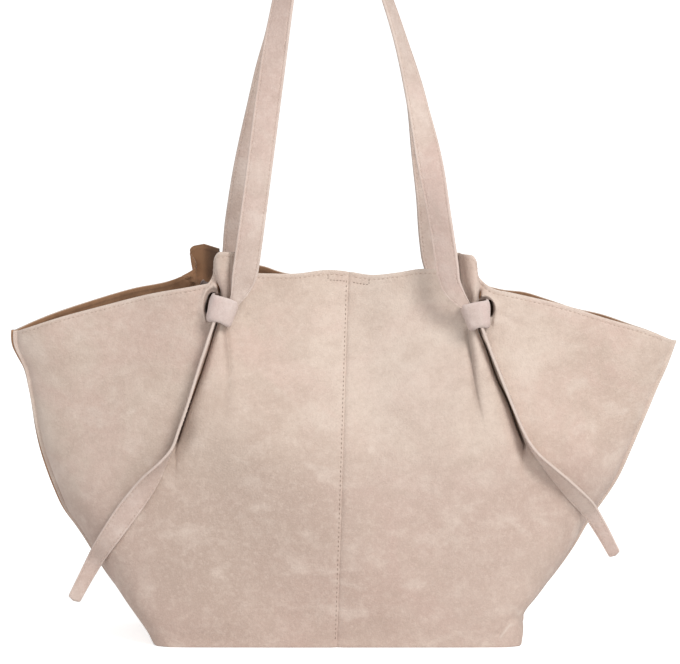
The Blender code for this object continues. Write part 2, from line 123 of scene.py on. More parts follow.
rightSide = {
    "name": "right",
    "sign": 1,
    "baseReach": 0.134,
    "wingHeight": 0.2229,
    "flareShares": (
        (0, 0.004), (0.035, 0.022), (0.07, 0.028), (0.094, 0.056), (0.14, 0.142), (0.223, 0.268),
        (0.3, 0.362), (0.364, 0.426), (0.529, 0.628), (0.625, 0.713), (0.804, 0.863), (1, 1),
    ),
    "footInset": -0.0006,
    "frontTopShares": (
        (0, 0.985), (0.062, 0.948), (0.148, 0.99), (0.221, 1.045), (0.33, 1.01), (0.403, 0.93),
        (0.4255, 0.85), (0.453, 0.795), (0.482, 0.77), (0.525, 0.725), (0.674, 0.548), (0.772, 0.4),
        (0.938, 0.165), (1, 0.035),
    ),
    "backTopShares": (
        (0, 0.915), (0.1, 0.87), (0.2, 0.84), (0.33, 0.80), (0.42, 0.72), (0.48, 0.66), (0.55, 0.63),
        (0.62, 0.537), (0.7, 0.42), (0.794, 0.333), (0.874, 0.222), (0.932, 0.148), (1, 0.035),
    ),
    "frontTuck": -0.0014,
    "knotReach": 0.101,
    "knotHeight": 0.2520,
    "tailDrop": 0.172,
    "tailReach": 0.102,
}
frontFace = {"name": "front", "sign": -1, "shift": 0.0}
backFace = {"name": "back", "sign": 1, "shift": -0.010}

# The cinched fold at each knot. Heights are shares of foldDrop above the knot, offsets are shares of
# foldSpread outwards from it. The fold stands between its crease, inwards, and its wall, outwards.
fold = {
    "foldDrop": 0.1,
    "foldSpread": 0.04,
    "height": 0.0078,
    "ovalPower": 2.2,
    "stepTurn": 0.0026,
    "stepWiden": 0.0100,
    "stepReach": 0.075,
    "turnStart": 0.02,
    "turnReach": 0.075,
    "lowStart": 0.018,
    "lowReach": 0.055,
    "fadeStart": 0.074,
    "fadeReach": 0.062,
    "lineStart": 0.010,
    "lineEase": 0.006,
    "lineFade": 0.030,
    "lineRidge": 0.6,
    "ridgeEase": 0.002,
    "gather": 0.0030,
    "gatherWidth": 0.018,
    "gatherSpread": 0.2,
    "gapFrom": 0.01,
    "gapReach": 0.085,
    "trench": 0.0030,
    "trenchTop": 0.0085,
    "trenchEase": 0.003,
    "trenchEnd": 0.096,
    "trenchFade": 0.012,
    "trenchInset": 0.0002,
    "trenchWall": 0.0007,
    "trenchSlope": 0.0010,
    "hollowDepth": 0.0016,
    "hollowSlant": 0.35,
    "slitDepth": 0.0065,
    "slitEdge": 0.0008,
    "slitBack": 0.004,
    "slitBackEase": 0.0015,
    "slitTip": 0.12,
    "lip": 0.0027,
    "lipWidth": 0.17,
    "lipStart": -58,
    "lipEnd": 104,
    "lipFade": 26,
    "lipOutside": 0.0012,
    # Strength of the painted highlight on the slit's lip:
    "lipHighlight": 0.8,
    "dishDepth": 0.0009,
    "dishRing": 0.95,
    "dishRingEase": 0.3,
    "dishFoot": -0.002,
    "dishEase": 0.006,
    "pinchDepth": 0.0045,
    "pinchOut": 0.0004,
    "pinchWidth": 0.0009,
    "pinchHeight": 0.0030,
    "valleyDepth": 0.0007,
    "valleyOut": 0.0008,
    "valleyWidth": 0.0022,
    "valleyStart": 0.010,
    "valleyEase": 0.006,
    "layerDepth": 0.0007,
    "layerWidth": 0.0006,
    "layerStart": 0.010,
    "layerEase": 0.004,
    "bandShade": 0.55,
    "trenchShade": 0.92,
    "pinchShade": 0.9,
}
leftFold = {
    "creaseShares": (
        (-1, -0.09), (-0.66, -0.14), (-0.5, -0.16), (-0.32, -0.13), (-0.14, -0.09), (0, -0.13),
        (0.08, -0.19), (0.16, -0.33), (0.28, -0.43), (0.44, -0.48),
    ),
    "wallShares": (
        (-1.05, 0.85), (-0.97, 0.778), (-0.887, 0.712), (-0.75, 0.602), (-0.63, 0.49), (-0.46, 0.34),
        (-0.34, 0.245), (-0.206, 0.14), (-0.104, 0.062), (0, 0.02), (0.13, 0.012), (0.2, 0.06),
        (0.27, 0.115), (0.36, 0.14), (0.44, 0.15),
    ),
    "gapStart": 0.0005,
    "gapEnd": 0.0016,
    "creaseDepth": 0.0010,
    "creaseWidth": 0.0026,
    "creaseEnd": 0.056,
    "creaseShade": 0.13,
    "hollow": (0.0265, -0.094, 0.0075, 0.0120),
    "hollowShade": 0.22,
    "earHeight": 0.0215,
    "earFoot": 0.0105,
    "earEase": 0.0095,
    "earInner": -0.0185,
    "earInnerEase": 0.0030,
    "earFan": 0.0,
    "earTilt": 0.26,
    "tiltReach": 0.03,
    "layerShares": ((0.1, -0.17), (0.44, -0.178)),
    "layerShade": 0.12,
    "overhang": 0.006,
    "slitMiddle": 0.0046,
    "slitHalf": 0.0078,
    "slitWidth": 0.0023,
    "lipCentre": (0.0054, 0.0030),
    "lipSize": (0.0084, 0.0148),
    "pinchMiddle": 0.0142,
    "pinch": 1.0,
}
rightFold = {
    "creaseShares": (
        (-1, 0.17), (-0.86, 0.095), (-0.63, -0.038), (-0.354, -0.13), (-0.124, -0.2), (0, -0.19),
        (0.10, -0.16), (0.22, -0.26), (0.44, -0.37),
    ),
    "wallShares": (
        (-1.0, 0.825), (-0.873, 0.70), (-0.685, 0.535), (-0.515, 0.335), (-0.293, 0.14), (-0.14, -0.008),
        (0, -0.03), (0.10, 0.0), (0.22, 0.03), (0.44, -0.04),
    ),
    "gapStart": 0.0006,
    "gapEnd": 0.0018,
    "creaseDepth": 0.0020,
    "creaseWidth": 0.0030,
    "creaseEnd": 0.060,
    "creaseShade": 0.26,
    "hollow": (0.0315, -0.101, 0.0042, 0.0060),
    "hollowShade": 0.30,
    "earHeight": 0.0168,
    "earFoot": 0.0032,
    "earEase": 0.0086,
    "earInner": -0.0235,
    "earInnerEase": 0.0056,
    "earFan": 0.0,
    "earTilt": 0.1,
    "tiltReach": 0.03,
    "layerShares": ((0.1, -0.30), (0.4, -0.378)),
    "layerShade": 0.5,
    "overhang": 0.005,
    "slitMiddle": 0.0018,
    "slitHalf": 0.0066,
    "slitWidth": 0.0024,
    "lipCentre": (0.0048, -0.0006),
    "lipSize": (0.0086, 0.0126),
    "pinchMiddle": 0.0122,
    "pinch": 1.0,
}
backLeftFold = dict(
    leftFold,
    creaseShares=((-1, -0.2), (-0.4, -0.16), (-0.1, -0.17), (0.12, -0.3), (0.28, -0.45), (0.44, -0.5)),
    wallShares=((-1, 0.6), (-0.5, 0.34), (-0.1, 0.09), (0.12, 0.3), (0.2, 0.7), (0.44, 0.8)),
    earHeight=0.0185,
    earFoot=0.0205,
    earEase=0.0165,
    earInner=-0.022,
    earInnerEase=0.016,
    earFan=0.15,
    earTilt=0.6,
    tiltReach=0.0065,
    overhang=0.026,
    pinch=0.0,
)
backRightFold = dict(
    rightFold,
    creaseShares=((-1, -0.2), (-0.4, -0.16), (-0.1, -0.17), (0.12, -0.2), (0.44, -0.24)),
    wallShares=((-1, 0.6), (-0.5, 0.34), (-0.1, 0.09), (0.12, 0.12), (0.44, 0.24)),
    earHeight=0.006,
    earFoot=0.012,
    earEase=0.012,
    overhang=0.0,
    pinch=0.0,
)

# The leather loop round each knot, the straps that run through it and their loose tails.
band = {
    "height": 0.0200,
    "thickness": 0.0018,
    "lowArch": 0.0022,
    "highArch": 0.0006,
    "edgeDraw": 0.0011,
    "drawPower": 5,
    "belly": 0.0006,
    "ripple": 0.00015,
    "rimBulge": 0.0007,
    "roundness": 3.0,
    "shadowDown": 0.0004,
    "shadowWidth": 0.0013,
    "shadowAside": 0.0008,
    "shadowEase": 0.002,
    "left": {
        "width": 0.0230,
        "lowWidthShare": 0.87,
        "tilt": 16.5,
        "shift": (-0.0008, 0.0),
        "rootOut": 0.0026,
    },
    "right": {
        "width": 0.0236,
        "lowWidthShare": 0.72,
        "tilt": 11.0,
        "shift": (-0.0014, -0.0024),
        "rootOut": 0.0002,
    },
}
strap = {
    "depth": 0.050324,
    "width": 0.0195,
    "thickness": 0.0024,
    "hingeHeight": 0.285,
    "rootShift": 0.019,
    "handleDrop": 0.2723,
    "handleSway": 0.016,
    "topGap": 0.0003,
    "rootDepth": 0.0024,
    "endSteps": 90,
    "steps": 430,
    "smoothing": 10,
    "stitched": (18, -18),
    "bendFrom": 0.2780,
    "bendTo": 0.2920,
    "press": 0.00026,
    "pressWidth": 0.030,
    "sideShare": 0.93,
    "seamInset": 0.0022,
    "crown": 0.00022,
    "leftTurnShares": ((0, 1), (0.4, 0.62), (0.5, 0.45), (0.6, 0.28), (0.7, 0.1), (0.8, 0), (1, 0)),
    "rightTurnShares": (
        (0, 1), (0.5, 0.82), (0.65, 0.68), (0.72, 0.52), (0.78, 0.34), (0.83, 0.1), (0.9, -0.26),
        (1, -0.34),
    ),
    "backLeftShares": (
        (0, 1), (0.06, 1.13), (0.15, 1.13), (0.25, 1.03), (0.33, 0.86), (0.42, 0.62), (0.53, 0.35),
        (0.62, 0.05), (0.75, 0), (1, 0),
    ),
    "backRightShares": ((0, 1), (0.06, 0.95), (0.18, 0.62), (0.3, 0.3), (0.42, 0.05), (0.6, 0), (1, 0)),
}
tail = {
    "rootWidth": 0.008,
    "neckWidth": 0.0135,
    "width": 0.0168,
    "tipWidth": 0.0098,
    "tipLength": 0.0045,
    "tipPower": 3.2,
    "tipBlunt": 0.0004,
    "inBand": 0.014,
    "bendBefore": 0.003,
    "bendAfter": 0.009,
    "steps": 190,
    "depthSmoothing": 60,
    "smoothing": 6,
    "stitched": (16, -4),
    "backReachShare": 0.55,
    "leftPathShares": (
        (0, 0), (0.063, 0.041), (0.1125, 0.0745), (0.195, 0.1245), (0.278, 0.176), (0.36, 0.231),
        (0.427, 0.278), (0.468, 0.326), (0.519, 0.396), (0.6, 0.510), (0.702, 0.652), (0.8, 0.778),
        (0.891, 0.875), (1, 0.99),
    ),
    "rightPathShares": (
        (0, 0), (0.075, 0.047), (0.184, 0.121), (0.303, 0.202), (0.422, 0.285), (0.491, 0.342),
        (0.54, 0.402), (0.592, 0.483), (0.695, 0.643), (0.7825, 0.768), (0.8767, 0.870), (1, 0.985),
    ),
    "leftTurnShares": (
        (0, 1), (0.36, 1), (0.43, 0.97), (0.49, 0.76), (0.55, 0.44), (0.64, 0.16), (0.76, 0), (1, 0),
    ),
    "rightTurnShares": (
        (0, 1), (0.36, 1), (0.44, 0.97), (0.55, 0.82), (0.66, 0.58), (0.8, 0.36), (0.9, 0.28), (1, 0.28),
    ),
    "edgeTurn": 90,
    "thinShare": 0.84,
    "rest": 0.0007,
}
stitch = {
    "pitch": 0.0036,
    "length": 0.0024,
    "width": 0.00062,
    "height": 0.00040,
    "edgeInset": 0.0030,
    "edgeEndShare": 0.985,
    "centreInset": 0.0017,
    "centreLevels": (0.012, 0.985),
    "centrePitchShare": 0.98,
    "centreThreadShare": 0.9,
    "strapThreadShare": 0.9,
}


# Curves and blends

def curveThrough(table, at):
    # A smooth cubic through the table's points, each slope taken from the point's neighbours.
    places, values = np.array(table, float).T
    slopes = np.gradient(values, places)
    at = np.clip(at, places[0], places[-1])
    i = np.clip(np.searchsorted(places, at) - 1, 0, len(places) - 2)
    span = places[i + 1] - places[i]
    t = (at - places[i]) / span
    start = (2 * t**3 - 3 * t**2 + 1) * values[i] + (t**3 - 2 * t**2 + t) * span * slopes[i]
    end = (3 * t**2 - 2 * t**3) * values[i + 1] + (t**3 - t**2) * span * slopes[i + 1]
    return start + end


def ease(t):  # 3 t^2 - 2 t^3, held at 0 and 1 outside
    t = np.clip(t, 0, 1)
    return t * t * (3 - 2 * t)


def above(high, start, reach):  # 0 up to the start, 1 from the reach over it
    return ease((high - start) / reach)


def below(high, start, reach):  # the same downwards, with the start and reach measured down from 0
    return ease((-start - high) / reach)


def hump(offset, halfWidth):  # squared cosine, 0 from the half width on
    return np.cos(np.pi / 2 * np.clip(offset / halfWidth, -1, 1)) ** 2


def bell(offset, width):  # e to the minus square of offset over width
    return np.exp(-((offset / width) ** 2))


def softTent(offset, halfWidth, tip):
    # A straight sided tent with a rounded ridge and rounded feet, 1 in the middle.
    fall = 1 - (np.sqrt(offset**2 + tip**2) - tip) / halfWidth
    return (fall + np.sqrt(fall**2 + 0.0225)) / (1 + math.sqrt(1.0225))


def blurred(field, radius):
    # The mean over a square of cells, with the edges repeated.
    for axis in (0, 1):
        pad = [(0, 0)] * field.ndim
        pad[axis] = (radius + 1, radius)
        total = np.cumsum(np.pad(field, pad, mode="edge"), axis=axis)
        size = np.arange(field.shape[axis])
        field = (np.take(total, size + 2 * radius + 1, axis) - np.take(total, size, axis)) / (2 * radius + 1)
    return field


def conicPartner(share, weight):
    # A rounded corner as a conic: its depth share at a width share, and the other way round.
    a = (2 - 2 * weight) * share - (1 - 2 * weight)
    b = (2 * weight - 2) * share - 2 * weight
    root = np.sqrt(np.maximum(b * b - 4 * a * share, 0))
    q = 2 * share / (root - b)
    full = (1 - q) ** 2 + 2 * weight * q * (1 - q)
    return full / (1 + (2 * weight - 2) * q + (2 - 2 * weight) * q * q)


def unit(vectors):
    return vectors / np.maximum(np.linalg.norm(vectors, axis=-1, keepdims=True), 1e-12)


# Body surface

def flangeAt(level):  # the seam allowance outside the side seam, down to almost nothing at the foot
    atFoot = body["flangeAtFoot"]
    return body["flange"] * (atFoot + (1 - atFoot) * ease(level / body["flangeReach"]))


def edgeX(side, level, face=None):
    # The side's outline. The front's edge lies a little inside the back's, or outside it.
    flared = (body["wingReach"] - side["baseReach"]) * curveThrough(side["flareShares"], level)
    tuck = side["frontTuck"] * curveThrough(body["tuckShares"], level) * (1 if face is frontFace else 0)
    return side["sign"] * (side["baseReach"] + flared - flangeAt(level) - tuck)


def seamX(level):
    return body["seamAtBase"] + (body["seamAtMouth"] - body["seamAtBase"]) * level


def topHeight(side, face, share):
    rise = body["mouthHeight"] - side["wingHeight"]
    return side["wingHeight"] + rise * curveThrough(side[face["name"] + "TopShares"], share)


def knotX(side, face):
    return side["sign"] * side["knotReach"] + face["shift"]


def foldOf(side, face):
    if face is frontFace:
        return leftFold if side is leftSide else rightFold
    return backLeftFold if side is leftSide else backRightFold


def foldLines(side, face, z):
    # The fold's crease and wall at a height, as offsets outwards from the knot.
    high = (z - side["knotHeight"]) / fold["foldDrop"]
    lines = foldOf(side, face)
    crease = fold["foldSpread"] * curveThrough(lines["creaseShares"], high)
    wall = fold["foldSpread"] * curveThrough(lines["wallShares"], high)
    return crease, wall


def earShare(side, face, out):
    # 0 beside the ear, 1 on it, by the offset outwards from the knot.
    lines = foldOf(side, face)
    outer = ease((lines["earFoot"] - out) / lines["earEase"])
    inner = ease((out - lines["earInner"]) / lines["earInnerEase"])
    return outer * inner


def bandEdge(side, high):
    # How far out the band's side stands at a height over the knot. It leans in and widens upwards.
    made = band[side["name"]]
    taper = (1 - made["lowWidthShare"]) / 2 * made["width"] / band["height"]
    middle = made["width"] / 2 * (1 + made["lowWidthShare"]) / 2 + made["shift"][0]
    return middle + (high - made["shift"][1]) * (taper - math.tan(math.radians(made["tilt"])))


def bandShadow(side, out, high):
    # The painted shadow under the band's lower edge, a dark line on the leather under it.
    made = band[side["name"]]
    turn = math.radians(made["tilt"])
    u = (out - made["shift"][0]) * math.cos(turn) + (high - made["shift"][1]) * math.sin(turn)
    v = (high - made["shift"][1]) * math.cos(turn) - (out - made["shift"][0]) * math.sin(turn)
    half = made["width"] * made["lowWidthShare"] / 2
    bow = band["lowArch"] * (1 - np.clip(u / half, -1, 1) ** 2)
    under = v + band["height"] / 2 + band["shadowDown"] - bow
    within = half + band["shadowAside"] - np.abs(u)
    return bell(under, band["shadowWidth"]) * ease(within / band["shadowEase"])


def gapWidth(side, face, high):
    lines = foldOf(side, face)
    down = below(high, fold["gapFrom"], fold["gapReach"])
    return lines["gapStart"] + (lines["gapEnd"] - lines["gapStart"]) * down


def foldBody(lines, out, high, crease, wall):
    # An ellipse from the crease to the wall in the band and above it. Below it turns into a step with a
    # quarter round at the wall, which spreads inwards and fades. A fine crease runs along its inner side,
    # darkened with painted shade.
    t = np.clip((out - crease) / (wall - crease), 0, 1)
    oval = np.maximum(1 - np.abs(2 * t - 1) ** fold["ovalPower"], 0) ** (1 / fold["ovalPower"])
    turn = fold["stepTurn"] + fold["stepWiden"] * below(high, fold["turnStart"], fold["turnReach"])
    drop = np.sqrt(1 - (1 - np.clip((wall - out) / turn, 0, 1)) ** 2)
    step = drop * (1 - ease((crease - out) / fold["stepReach"]))
    low = below(high, fold["lowStart"], fold["lowReach"])
    fade = 1 - below(high, fold["fadeStart"], fold["fadeReach"])
    relief = fold["height"] * fade * (oval * (1 - low) + step * low)
    line = bell(out - crease, lines["creaseWidth"]) * below(high, fold["lineStart"], fold["lineEase"])
    line = line * (1 - below(high, lines["creaseEnd"], fold["lineFade"]))
    relief -= lines["creaseDepth"] * line
    relief += lines["creaseDepth"] * fold["lineRidge"] * line * ease((out - crease) / fold["ridgeEase"])
    wide = fold["gatherWidth"] + fold["gatherSpread"] * np.maximum(-high, 0)
    gathered = bell(out - (crease + wall) / 2, wide)
    relief += fold["gather"] * fade * gathered
    return relief, line * lines["creaseShade"]


def foldGap(lines, out, high, wall, gap):
    # The gap outside the wall, and the soft hollow inside the wall at the gap's lower end, both sunk and
    # darkened with painted shade.
    reach = below(high, fold["trenchTop"], fold["trenchEase"])
    reach = reach * (1 - below(high, fold["trenchEnd"], fold["trenchFade"]))
    slope = fold["trenchSlope"]
    trench = ease((out - wall + fold["trenchInset"]) / fold["trenchWall"])
    trench = trench * ease((wall + gap + slope - out) / slope) * reach
    at, down, wide, tall = lines["hollow"]
    slanted = out - at + (high - down) * fold["hollowSlant"]
    dip = bell(slanted, wide) * bell(high - down, tall) * lines["pinch"]
    relief = -fold["trench"] * trench - fold["hollowDepth"] * dip
    return relief, np.maximum(trench * fold["trenchShade"], lines["hollowShade"] * dip)


def knotSlit(side, lines, out, high, wall):
    # Beside the band a slit is cut in the leather, half an ellipse wide, with a raised lip on an ellipse
    # round it. Above it the leather is pinched in along the wall.
    across = (out - lines["lipCentre"][0]) / lines["lipSize"][0]
    upward = (high - lines["lipCentre"][1]) / lines["lipSize"][1]
    ring = np.sqrt(across**2 + upward**2)
    angle = np.degrees(np.arctan2(upward, across))
    around = ease((angle - fold["lipStart"]) / fold["lipFade"])
    around = around * (1 - ease((angle - fold["lipEnd"]) / fold["lipFade"]))
    outside = ease((out - wall) / fold["lipOutside"])
    lip = around * outside * bell(ring - 1.0, fold["lipWidth"])
    relief = fold["lip"] * lip
    dish = ease((fold["dishRing"] - ring) / fold["dishRingEase"])
    dish = dish * above(high, fold["dishFoot"], fold["dishEase"])
    relief -= fold["dishDepth"] * around * outside * dish
    tall = (high - lines["slitMiddle"]) / lines["slitHalf"]
    edge = bandEdge(side, high) + lines["slitWidth"] * np.sqrt(np.maximum(1 - tall**2, 0))
    behind = out - bandEdge(side, high) + fold["slitBack"]
    slit = ease((edge - out) / fold["slitEdge"] + 0.5) * ease(behind / fold["slitBackEase"])
    slit = slit * ease((1 - np.abs(tall)) / fold["slitTip"]) * outside
    relief -= fold["slitDepth"] * slit
    pinch = lines["pinch"] * bell(out - wall - fold["pinchOut"], fold["pinchWidth"])
    pinch = pinch * bell(high - lines["pinchMiddle"], fold["pinchHeight"])
    relief -= fold["pinchDepth"] * pinch
    valley = lines["pinch"] * bell(out - wall - fold["valleyOut"], fold["valleyWidth"])
    valley = valley * above(high, fold["valleyStart"], fold["valleyEase"])
    relief -= fold["valleyDepth"] * valley
    # The slit and the pinch are darkened with painted shade; the lip gets a painted highlight.
    return relief, np.maximum(slit, pinch * fold["pinchShade"]), fold["lipHighlight"] * lip * lines["pinch"]


def earLayer(lines, out, high):
    # The thin line where one layer of the ear lies on the other, sunk a little and darkened with painted
    # shade.
    place = fold["foldSpread"] * curveThrough(lines["layerShares"], high / fold["foldDrop"])
    layer = bell(out - place, fold["layerWidth"]) * above(high, fold["layerStart"], fold["layerEase"])
    layer = layer * lines["pinch"]
    return -fold["layerDepth"] * layer, lines["layerShade"] * layer


def pullLines(out, high):
    # Fine wrinkles that run out from the knot: each is a dip with a lower ridge beside it.
    relief = 0
    for hand, angle, reach, deep in foldWrinkles:
        turn = math.radians(angle)
        start = hand * out - wrinkle["start"]
        run = start * math.cos(turn) + high * math.sin(turn)
        off = high * math.cos(turn) - start * math.sin(turn)
        along = ease(run / wrinkle["ease"]) * (1 - ease(run / reach))
        ridge = wrinkle["ridge"] * bell(off - wrinkle["ridgeOff"], wrinkle["ridgeWidth"])
        relief = relief - deep * along * (bell(off, wrinkle["width"]) - ridge)
    return relief


def knotRelief(side, face, out, z):
    # All that happens to the leather round a knot: its height, its painted shade and its painted highlight.
    lines = foldOf(side, face)
    high = z - side["knotHeight"]
    crease, wall = foldLines(side, face, z)
    slit, slitShade, wornAndLit = knotSlit(side, lines, out, high, wall)
    gap = gapWidth(side, face, high)
    parts = [foldBody(lines, out, high, crease, wall), foldGap(lines, out, high, wall, gap)]
    parts += [(slit, slitShade), earLayer(lines, out, high)]
    relief = pullLines(out, high)
    shade = fold["bandShade"] * bandShadow(side, out, high) * lines["pinch"]
    for raised, dark in parts:
        relief = relief + raised
        shade = np.maximum(shade, dark)
    return relief, shade, wornAndLit


wrinkle = {
    "start": 0.010,
    "ease": 0.010,
    "width": 0.0022,
    "ridge": 0.55,
    "ridgeOff": 0.0048,
    "ridgeWidth": 0.0030,
}
# Fine pull lines from the knot: hand out or in, angle up from level in degrees, length, depth.
foldWrinkles = (
    (1, 10, 0.036, 0.0004),
    (1, -26, 0.050, 0.0006),
    (-1, 12, 0.040, 0.0004),
    (-1, -34, 0.055, 0.0005),
)
# Soft waves in the leather: wavelength across, wavelength up, phase, share of the wave depth.
softWaves = (
    (0.21, 0.33, 0.3, 0.9),
    (0.13, -0.24, 1.9, 0.6),
    (0.31, 0.15, 4.1, 0.8),
    (0.083, 0.19, 2.6, 0.35),
    (0.055, -0.12, 5.2, 0.16),
)


def softRelief(side, face, x, z, share, level):
    # A sum of slanting sine waves, held down at the seams and at the closure.
    phase = 0.0 if face is frontFace else 2.2
    total = 0
    for wide, tall, start, deep in softWaves:
        total = total + deep * np.sin(2 * np.pi * (x / wide + z / tall) + start + phase + side["sign"])
    window = ease(share / 0.12) * ease((1 - share) / 0.16) * ease(level / 0.08)
    window = window * (1 - 0.85 * hump(x - body["seamAtMouth"], 0.05) * ease((level - 0.6) / 0.3))
    flutter = np.sin(2 * np.pi * share / body["flutterLength"] + 0.6 + phase) * ease((level - 0.55) / 0.45)
    return (body["waveDepth"] * total + body["flutterDepth"] * flutter) * window


boxedCorner = {
    "start": (0.1345, 0.0268),
    "end": (0.1163, 0.0064),
    "from": -0.12,
    "fromEase": 0.24,
    "to": 1.04,
    "toEase": 0.16,
    "bow": -0.0010,
    "width": 0.0009,
    "height": 0.0006,
    "pressed": 0.0011,
    "pressedOut": 0.0024,
    "pressedWidth": 0.0015,
    # Strength of the painted highlight along the corner line:
    "wearAndHighlight": 1.3,
}


def cornerRelief(side, x, z):
    # The boxed corner: a slightly bowed line from the side of the bag down to its foot, raised a little and
    # painted pale as a highlight on the fold, with the leather pressed in outside it. Gives the relief and
    # the line.
    if side is leftSide:
        return 0 * x, 0 * x
    start, end = np.array(boxedCorner["start"]), np.array(boxedCorner["end"])
    size = np.linalg.norm(end - start)
    along = (end - start) / size
    run = ((x - start[0]) * along[0] + (z - start[1]) * along[1]) / size
    off = (x - start[0]) * along[1] - (z - start[1]) * along[0]
    off = off + boxedCorner["bow"] * (1 - (2 * np.clip(run, 0, 1) - 1) ** 2)
    on = ease((run - boxedCorner["from"]) / boxedCorner["fromEase"])
    on = on * ease((boxedCorner["to"] - run) / boxedCorner["toEase"])
    line = on * bell(off, boxedCorner["width"])
    pressed = on * bell(off - boxedCorner["pressedOut"], boxedCorner["pressedWidth"])
    return boxedCorner["height"] * line - boxedCorner["pressed"] * pressed, line


def panelPoint(side, face, level, x, around=None):
    # Height: from the foot to the top edge by level, plus the ear. Depth: the half depth by level times
    # the rounded corner, drawn in at the closure, plus the knot, the soft waves and the pressed lines.
    lines = foldOf(side, face)
    seam = seamX(level)
    edge = edgeX(side, level, face)
    share = np.clip((x - seam) / (edge - seam), 0, 1)
    partner = around
    if around is None:
        partner = conicPartner(share, curveThrough(body["cornerShares"], level))
    out = side["sign"] * (x - knotX(side, face))
    rise = ease((level - body["earLevel"]) / (1 - body["earLevel"]))
    lift = earShare(side, face, out) * rise
    z = body["foot"] + (topHeight(side, face, share) - body["foot"]) * level
    reach = lines["tiltReach"]
    tilted = (out + reach - np.sqrt((out - reach) ** 2 + body["tiltRound"] ** 2)) / 2
    z = z + lines["earHeight"] * lift + lines["earTilt"] * (tilted + body["tiltStart"]) * lift
    lean = lines["overhang"] * (lift - 0.5) * 4 * lift * (1 - lift) + lines["earFan"] * out * lift
    out = out + lean
    x = x + side["sign"] * lean
    depth = body["halfDepth"] * curveThrough(body["depthShares"], level) * partner
    closing = 1 - body["closedDepth"] / (body["halfDepth"] * body["depthShares"][-1][1])
    closing = closing * ease((level - body["closingLevel"]) / (1 - body["closingLevel"]))
    tent = softTent(x - body["seamAtMouth"], body["closingReach"], body["closingTip"])
    depth = depth * (1 - closing * tent)
    relief, shade, wornAndLit = knotRelief(side, face, out, z)
    depth = depth + relief * ease(partner / body["reliefFrom"])
    depth = depth + softRelief(side, face, x, z, share, level)
    pressed, line = cornerRelief(side, x, z)
    depth = depth + pressed
    # The boxed corner's line is painted pale as a highlight.
    wornAndLit = np.maximum(wornAndLit, boxedCorner["wearAndHighlight"] * line)
    depth = depth - body["seamGroove"] * bell(x - seam, body["seamGrooveWidth"])
    stitched = (1 - level) * (body["mouthHeight"] - body["foot"]) - stitch["edgeInset"]
    depth = depth - body["stitchGroove"] * bell(stitched, body["stitchGrooveWidth"])
    inset = side["footInset"] * (1 - ease(level / body["insetLevel"]))
    inset = inset * ease((share - body["insetShare"]) / (1 - body["insetShare"]))
    x = x - side["sign"] * inset * depth / body["halfDepth"]
    foot = bell(z - body["foot"], body["footWidth"])
    z = z - (body["foot"] - body["hem"]) * foot
    depth = np.maximum(depth + body["footFlare"] * foot, body["leather"] + 0.0001)
    return np.stack([x, face["sign"] * depth, z], axis=-1), shade, wornAndLit


def rowLevels():
    parts = [np.linspace(0, 0.13, 40, endpoint=False), np.linspace(0.13, 0.5, 44, endpoint=False)]
    parts += [np.linspace(0.5, 0.84, 66, endpoint=False), np.linspace(0.84, 1, 104)]
    return np.concatenate(parts)


